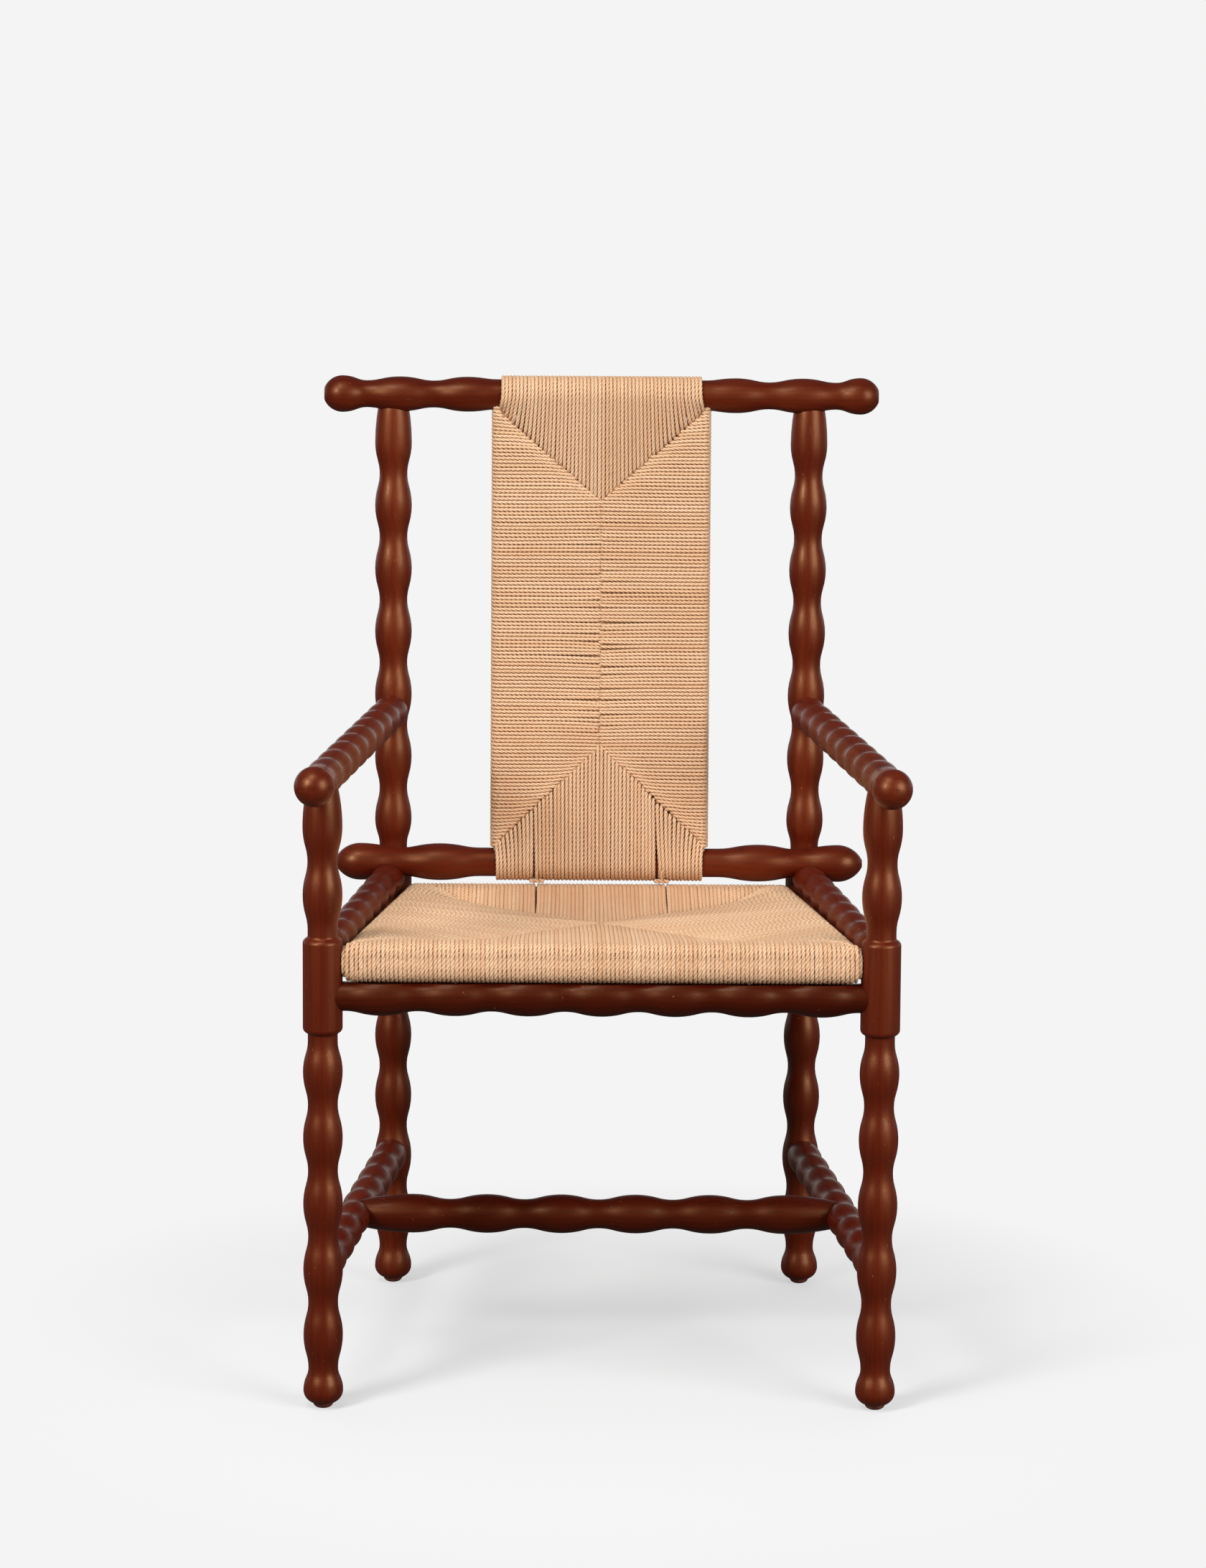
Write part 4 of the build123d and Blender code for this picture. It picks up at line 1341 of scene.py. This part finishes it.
    def _slack(self, up: float, mitre: float, inward: Points, side: Side) -> Points:
        """How a level strand sags towards the seam, bends at a mitre and makes room at a wedge.

        Args:
            up: where the strand lies on the panel.
            mitre: how far from the seam it ends.
            inward: distances from the panel's outer edge along the strand.
            side: the strand's side.

        Returns:
            How far each point moves up the panel.
        """
        share = np.clip(inward / self.half_width, 0.0, 1.0)
        low = math.exp(-(((up - self.droop_height) / self.droop_spread) ** 2))
        shift = -self.droop * low * share**2
        end = self.half_width - mitre
        close = np.exp(-np.clip(end - inward, 0.0, None) / self.bend_run) * min(1.0, mitre / self.bend_growth)
        shift = shift + close * self.mitre_bend * (1.0 if up < self.length / 2 else -1.0)
        if mitre < self.least_run:
            seam = np.clip(self.half_width - inward, 0.0, None)
            for wedge in self.wedges:
                if wedge.side is side:
                    shift = shift + wedge.shift(up, seam)
        return shift

    def build(self, effects: Effects, finish: PaperCord) -> list[bpy.types.Object]:
        """Weaves the back panel.

        Args:
            effects: the shared node groups.
            finish: the cord's finish.

        Returns:
            The pieces that stand for the panel's weave.
        """
        material = finish.material(effects, "back_cord", seed=5.0)
        inner = self.rail_half_width - self.spinner.radius
        across = np.linspace(-inner, inner, self.upright_strands)
        across = across + self.random.normal(0.0, self.upright_jitter, len(across))
        lowest, highest = self.foot + self.level_margin, self.length - self.head - self.level_margin
        levels = np.linspace(lowest, highest, self.level_strands)
        levels = levels + self.random.normal(0.0, self.level_jitter, len(levels))
        runs = {
            "back_cord_top": [self.upright(x, End.FAR) for x in across],
            "back_cord_foot": [self.upright(x, End.NEAR) for x in across],
            "back_cord_left": [self.level(up, Side.LEFT) for up in levels],
            "back_cord_right": [self.level(up, Side.RIGHT) for up in levels],
        }
        pieces = [self.spinner.spin(name, strands) for name, strands in runs.items()]
        hand_over(pieces, material, "back_weave")
        stuffing = self.pad("back_stuffing", self._opening())
        paper = FoldedPaper().material(effects, "back_stuffing_paper", seed=7.0)
        hand_over([stuffing], paper, "back_weave")
        return [*pieces, stuffing]

    def _opening(self) -> list[tuple[float, float]]:
        """Finds the corners of the space between the stiles and the two rails.

        Returns:
            The corners, as (across, up the panel).
        """
        beside, over = self.pad_clear
        wide = self.half_width - self.bar_inner - beside
        low, high = self.lower_radius + over, self.length - self.crest_radius - over
        return [(-wide, low), (wide, low), (wide, high), (-wide, high)]


@dataclass
class BackTies:
    """The small knots of finer cord below the back panel."""

    half_length: float = 0.0074
    inset: float = 0.0008
    coil_radius: float = 0.0015
    turns: float = 1.3
    coil_points: int = 28
    coil_tone: float = 0.4
    loop_points: int = 14
    loop_rise: float = 0.012
    loop_forward: float = 0.0052
    loop_sway: float = 0.0004
    loop_waves: float = 9.0
    spinner: CordSpinner = field(default_factory=lambda: CordSpinner(radius=0.00165, lay=0.010, step=0.0012))

    def build(self, effects: Effects, finish: PaperCord) -> list[bpy.types.Object]:
        """Twists two short lengths of cord round each other at each knot.

        Args:
            effects: the shared node groups.
            finish: the cord's finish.

        Returns:
            The piece that stands for the knots.
        """
        low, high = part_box("back_ties")
        middle_y, middle_z = (low[1] + high[1]) / 2, (low[2] + high[2]) / 2
        reach = high[0] - self.half_length - self.inset
        strands = []
        for side in Side:
            knot = (side.value * reach, middle_y, middle_z)
            strands += [self._coil(knot, start) for start in (0.0, math.pi)]
            strands.append(self._loop(knot))
        piece = self.spinner.spin("back_knots", strands)
        hand_over([piece], finish.material(effects, "knot_cord", seed=8.0), "back_ties")
        return [piece]

    def _coil(self, knot: tuple[float, float, float], start: float) -> Strand:
        """One of the two lengths that wind round each other.

        Args:
            knot: the knot's place.
            start: the angle at which the length stands in the knot's middle.

        Returns:
            The strand.
        """
        x, y, z = knot
        share = np.linspace(-1.0, 1.0, self.coil_points)
        turn = start + share * self.turns * math.pi
        coil = (self.coil_radius * np.cos(turn), self.coil_radius * np.sin(turn))
        points = np.stack([x + share * self.half_length, y + coil[0], z + coil[1]], axis=1)
        return Strand(points, Vector((0.0, 0.3, 1.0)).normalized(), self.coil_tone)

    def _loop(self, knot: tuple[float, float, float]) -> Strand:
        """The bight that rises from a knot into the slit over it, round the wrapped rail.

        Args:
            knot: the knot's place.

        Returns:
            The strand.
        """
        x, y, z = knot
        share = np.linspace(0.0, 1.0, self.loop_points)
        sway = self.loop_sway * np.sin(share * self.loop_waves)
        forward = self.loop_forward * np.sin(share * math.pi / 2.0)
        return Strand(np.stack([x + sway, y - forward, z + self.loop_rise * share], axis=1), SIDEWAYS)


def hand_over(pieces: Iterable[bpy.types.Object], material: bpy.types.Material, node: str) -> None:
    """Dresses pieces and puts them in the place of a node of the frame.

    Args:
        pieces: the new pieces.
        material: their finish.
        node: the node that they stand for.
    """
    for piece in pieces:
        piece.data.materials.append(material)
        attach(piece, "root")
        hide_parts(node)


# ---------------------------------------------------------------- frame


@dataclass
class TurnedFrame:
    """The turned posts, rails, arms and stretchers, each with grain along its own length."""

    front_x: float = 0.2773
    front_y: float = -0.2018
    rear_x: float = 0.2236
    rear_y: float = 0.2482
    cross_rails: tuple[tuple[str, float, float], ...] = (
        ("crest_rail", *CREST_AXIS),
        ("lower_back_rail", *LOWER_BACK_AXIS),
        ("front_seat_rail", -0.2018, 0.4214),
        ("rear_seat_rail", 0.2402, 0.4026),
        ("cross_stretcher", -0.0018, 0.1448),
    )
    side_members: tuple[tuple[str, float, float], ...] = (
        ("arm", 0.640, 0.637),
        ("side_seat_rail", 0.461, 0.457),
        ("side_stretcher", 0.1432, 0.1468),
    )
    front_grain_start: float = 0.3
    rear_grain_start: float = 0.5
    decimals: int = 6
    crease: float = 38.0
    # Painted shade: the horizontal rails are darkened against the posts, most under the seat, where the lamps
    # reach them less.
    tones: tuple[tuple[str, float], ...] = (
        ("front_seat_rail", 0.50),
        ("cross_stretcher", 0.58),
        ("crest_rail", 0.84),
        ("lower_back_rail", 0.92),
    )
    seed_start: float = 0.4
    seed_step: float = 1.37
    finish: StainedWood = field(default_factory=StainedWood)

    def level_axis(self, side: Side, front_height: float, rear_height: float) -> tuple[Vector, Vector]:
        """Finds the axis of an arm or of a rail or stretcher at the side.

        Args:
            side: the side of the chair.
            front_height: the axis's height at the front post.
            rear_height: its height at the rear post.

        Returns:
            A point on the axis, and the way that the member runs.
        """
        front = Vector((side.value * self.front_x, self.front_y, front_height))
        rear = Vector((side.value * self.rear_x, self.rear_y, rear_height))
        return front, rear - front

    def axes(self) -> dict[str, tuple[Vector, Vector]]:
        """Finds every member's axis.

        Returns:
            A point and a direction for each node's name.
        """
        found = {name: (Vector((0.0, y, z)), SIDEWAYS) for name, y, z in self.cross_rails}
        for side in Side:
            label = side.name.lower()
            front = Vector((side.value * self.front_x, self.front_y, self.front_grain_start))
            rear = Vector((side.value * self.rear_x, self.rear_y, self.rear_grain_start))
            found[f"front_post_{label}"] = (front, UPWARD)
            found[f"rear_post_{label}"] = (rear, UPWARD)
            for name, front_height, rear_height in self.side_members:
                found[f"{name}_{label}"] = self.level_axis(side, front_height, rear_height)
        return found

    def sanded(self, name: str, rough: bpy.types.Mesh) -> bpy.types.Object:
        """Makes a piece of a member's own shape, with its facets joined and its faces shaded smooth.

        Args:
            name: the new piece's name.
            rough: the member's mesh, whose facets lie apart.

        Returns:
            The new object.
        """
        flat = np.empty(len(rough.vertices) * 3, dtype=np.float32)
        rough.vertices.foreach_get("co", flat)
        places = flat.reshape(-1, 3)
        corners = np.empty(len(rough.loops), dtype=np.int32)
        rough.loops.foreach_get("vertex_index", corners)
        rounded = np.round(places, self.decimals)
        _, kept, joined = np.unique(rounded, axis=0, return_index=True, return_inverse=True)
        faces = joined.reshape(-1)[corners].reshape(-1, 3)
        whole = (faces != np.roll(faces, -1, axis=1)).all(axis=1)
        mesh = bpy.data.meshes.new(name)
        mesh.from_pydata(places[kept].tolist(), [], faces[whole].tolist())
        mesh.shade_smooth()
        mesh.set_sharp_from_angle(angle=math.radians(self.crease))
        return set_out(name, mesh)

    def build(self, effects: Effects, nodes: dict[str, Any]) -> list[str]:
        """Makes and dresses each turned member.

        Args:
            effects: the shared node groups.
            nodes: the frame's nodes, by name.

        Returns:
            The members' names.
        """
        tones, axes = dict(self.tones), self.axes()
        for count, (name, (start, way)) in enumerate(axes.items()):
            seed = count * self.seed_step + self.seed_start
            material = self.finish.material(effects, "wood_" + name, start, way, seed, tones.get(name, 1.0))
            dress(nodes[name], material)
            hand_over([self.sanded(name + "_sanded", nodes[name].data)], material, name)
        return list(axes)


@dataclass
class HiddenFrames:
    """The slip frame inside the seat, the panel stiles, and the dowels that hold them."""

    seed_start: float = 3.0
    finish: BareWood = field(default_factory=BareWood)

    def build(self, effects: Effects, nodes: dict[str, Any]) -> list[str]:
        """Gives each board and dowel its finish.

        Args:
            effects: the shared node groups.
            nodes: the frame's nodes, by name.

        Returns:
            The names of the boards and dowels.
        """
        ways = {
            "seat_frame_front": SIDEWAYS,
            "seat_frame_back": SIDEWAYS,
            "seat_frame_left": BACKWARD,
            "seat_frame_right": BACKWARD,
            "seat_frame_dowels": BACKWARD,
            "panel_stile_left": UPWARD,
            "panel_stile_right": UPWARD,
        }
        for count, (name, way) in enumerate(ways.items()):
            dress(nodes[name], self.finish.material(effects, "bare_" + name, way, self.seed_start + count))
        return list(ways)


@dataclass
class Fittings:
    """The glides under the feet and the screws that hold the seat and the lower back rail."""

    plastic: MouldedPlastic = field(default_factory=MouldedPlastic)
    steel: PlatedSteel = field(default_factory=PlatedSteel)

    def build(self, nodes: dict[str, Any]) -> list[str]:
        """Gives the glides and the screws their finishes.

        Args:
            nodes: the frame's nodes, by name.

        Returns:
            The names of the glides' and the screws' nodes.
        """
        steel = self.steel.material()
        finishes = {"foot_glides": self.plastic.material(), "seat_screws": steel, "back_rail_screws": steel}
        for name, material in finishes.items():
            dress(nodes[name], material)
        return list(finishes)


def dress(node: bpy.types.Object, material: bpy.types.Material) -> None:
    """Puts a material in all of a node's slots.

    Args:
        node: the node.
        material: its finish.
    """
    if not node.material_slots:
        node.data.materials.append(material)
    for slot in node.material_slots:
        slot.material = material


# ---------------------------------------------------------------- studio


@dataclass
class Softbox:
    """One rectangular lamp, aimed at a point."""

    name: str
    place: tuple[float, float, float]
    aim: tuple[float, float, float]
    size: tuple[float, float]
    power: float

    def build(self) -> bpy.types.Object:
        """Hangs the lamp out of the camera's sight.

        Returns:
            The lamp.
        """
        data = bpy.data.lights.new(self.name, "AREA")
        data.shape = "RECTANGLE"
        data.size, data.size_y = self.size
        data.energy = self.power
        lamp = set_out(self.name, data)
        lamp.location = self.place
        lamp.rotation_euler = (Vector(self.aim) - Vector(self.place)).to_track_quat("-Z", "Y").to_euler()
        lamp.visible_camera = False
        return lamp


@dataclass
class Studio:
    """A pale floor that fades into a pale surround, lit by soft lamps."""

    white: float = 0.905
    floor_rings: tuple[float, ...] = (0.6, 1.2, 2.4, 4.8, 9.0)
    floor_segments: int = 96
    floor_colour: Colour = (0.83, 0.83, 0.83)
    mottle_colour: Colour = (0.80, 0.80, 0.80)
    bounce_colour: Colour = (0.12, 0.113, 0.106)
    fill_behind: float = 0.50
    fill_above: float = 0.12
    gloss_behind: float = 0.85
    gloss_above: float = 0.06
    least_light: float = 0.02
    least_glow: float = 0.54
    fade_start: float = 0.32
    fade_end: float = 0.70
    lamps: tuple[Softbox, ...] = (
        Softbox("key_lamp", (-2.7, -2.8, 2.6), (0.0, 0.0, 0.60), (1.1, 1.5), 140.0),
        Softbox("fill_lamp", (2.9, -2.6, 1.9), (0.0, 0.0, 0.60), (2.3, 2.2), 136.0),
        Softbox("top_lamp", (-0.8, -1.2, 3.0), (0.0, 0.0, 0.4), (0.9, 0.9), 25.0),
    )

    def floor(self) -> bpy.types.Object:
        """Lays a round floor that shows the surround's own white far from the chair.

        Returns:
            The floor.
        """
        count = self.floor_segments
        turns = np.linspace(0.0, 2.0 * math.pi, count + 1)[:-1]
        vertices = [(0.0, 0.0, 0.0)]
        vertices += [(r * math.cos(t), r * math.sin(t), 0.0) for r in self.floor_rings for t in turns]
        faces: list[tuple[int, ...]] = [(0, 1 + i, 1 + (i + 1) % count) for i in range(count)]
        for near in range(1, 1 + count * (len(self.floor_rings) - 1), count):
            far = near + count
            hops = [(i, (i + 1) % count) for i in range(count)]
            faces += [(near + i, far + i, far + j, near + j) for i, j in hops]
        mesh = bpy.data.meshes.new("floor")
        mesh.from_pydata(vertices, [], faces)
        ground = set_out("floor", mesh)
        mesh.materials.append(self._floor_material())
        return ground

    def _floor_material(self) -> bpy.types.Material:
        """Makes pale matt paint that turns to the surround's white for the camera as it gets far.

        Returns:
            The material.
        """
        material, g, shader = blank_material("floor_paint")
        place = g.place()
        mottle = g.remap(g.noise(place, 1.4, detail=2.0), 0.3, 0.7, 0.985, 1.0)
        paint = g.mix(mottle, self.mottle_colour, self.floor_colour)
        camera_ray = g.add("LightPath").outputs["Is Camera Ray"]
        g.feed(shader.inputs["Base Color"], g.mix(camera_ray, self.bounce_colour, paint))
        shader.inputs["Roughness"].default_value = 0.8
        shader.inputs["Specular IOR Level"].default_value = 0.1
        glow = g.add("Emission", {"Color": WHITE, "Strength": self.white})
        distance = g.vector("LENGTH", place, output=1)
        far = g.remap(distance, self.fade_start, self.fade_end, self.least_glow, 1.0)
        seen = g.math("MULTIPLY", far, camera_ray)
        blend = g.add("MixShader", {0: seen, 1: shader.outputs["BSDF"], 2: glow.outputs["Emission"]})
        output = next(node for node in g.tree.nodes if node.type == "OUTPUT_MATERIAL")
        g.feed(output.inputs["Surface"], blend.outputs[0])
        return material

    def surround(self) -> None:
        """Makes a world that is plain white to the camera and darker in front for reflections."""
        world = bpy.data.worlds.new("surround")
        bpy.context.scene.world = world
        world.use_nodes = True
        world.node_tree.nodes.clear()
        g = Graph(world.node_tree)
        parts = g.add("SeparateXYZ", {0: g.add("TexCoord").outputs["Generated"]})
        behind = g.remap(parts.outputs["Y"], -0.1, 0.7)
        above = g.remap(parts.outputs["Z"], 0.1, 0.9)
        path = g.add("LightPath")
        overhead = g.math("MULTIPLY", above, self.fill_above)
        soft = g.math("ADD", g.math("MULTIPLY", behind, self.fill_behind), overhead)
        horizon = g.math("MULTIPLY", behind, g.remap(parts.outputs["Z"], 0.12, 0.34, 1.0, 0.10))
        sheen = g.math("MULTIPLY", above, self.gloss_above)
        gloss = g.math("ADD", g.math("MULTIPLY", horizon, self.gloss_behind), sheen)
        swapped = g.math("MULTIPLY", path.outputs["Is Glossy Ray"], g.math("SUBTRACT", gloss, soft))
        level = g.math("ADD", g.math("ADD", soft, swapped), self.least_light)
        room = g.add("Background", {"Color": WHITE, "Strength": level})
        plain = g.add("Background", {"Color": WHITE, "Strength": self.white})
        backgrounds = {0: path.outputs["Is Camera Ray"], 1: room.outputs[0], 2: plain.outputs[0]}
        blend = g.add("MixShader", backgrounds)
        g.add("OutputWorld", {"Surface": blend.outputs[0]})

    def build(self) -> None:
        """Sets up the floor, the surround and the lamps."""
        self.floor()
        self.surround()
        for lamp in self.lamps:
            lamp.build()
            LOG.info("lamp %s", lamp.name)


@dataclass
class CameraStand:
    """The camera in front of the chair, a little above it and looking slightly down."""

    place: tuple[float, float, float] = (-0.0433, -4.70185, 1.4377)
    down: float = 7.5
    turn: float = 0.532
    roll: float = 0.370
    lens: float = 106.08
    sensor: float = 36.0
    lift: float = -0.1337

    def build(self) -> bpy.types.Object:
        """Sets the camera up and makes it the scene's own.

        Returns:
            The camera.
        """
        down, turn, roll = (math.radians(angle) for angle in (self.down, self.turn, self.roll))
        ahead = Vector((math.sin(turn) * math.cos(down), math.cos(turn) * math.cos(down), -math.sin(down)))
        level = Vector((math.cos(turn), -math.sin(turn), 0.0))
        upright = level.cross(ahead)
        right = math.cos(roll) * level + math.sin(roll) * upright
        up = -math.sin(roll) * level + math.cos(roll) * upright
        data = bpy.data.cameras.new("camera")
        data.lens, data.sensor_width, data.sensor_fit = self.lens, self.sensor, "AUTO"
        data.shift_x, data.shift_y = 0.0, self.lift
        camera = set_out("camera", data)
        turned = Matrix((right, up, -ahead)).transposed().to_4x4()
        camera.matrix_world = Matrix.Translation(self.place) @ turned
        bpy.context.scene.camera = camera
        return camera


# ---------------------------------------------------------------- scene


def main() -> None:
    """Loads the frame and builds the chair, the studio and the camera around it."""
    logging.basicConfig(level=logging.INFO, format="%(name)s: %(message)s")
    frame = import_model()
    bpy.context.scene.view_settings.view_transform = "Standard"
    nodes = frame["nodes"]
    effects = Effects()
    cord = PaperCord()
    CameraStand().build()
    for name in TurnedFrame().build(effects, nodes):
        LOG.info("turned member %s", name)
    for name in HiddenFrames().build(effects, nodes):
        LOG.info("hidden part %s", name)
    for name in Fittings().build(nodes):
        LOG.info("fitting %s", name)
    for weave in (SeatWeave(), BackWeave(), BackTies()):
        for piece in weave.build(effects, cord):
            LOG.info("cord piece %s with %d faces", piece.name, len(piece.data.polygons))
    Studio().build()


if __name__ == "__main__":
    main()
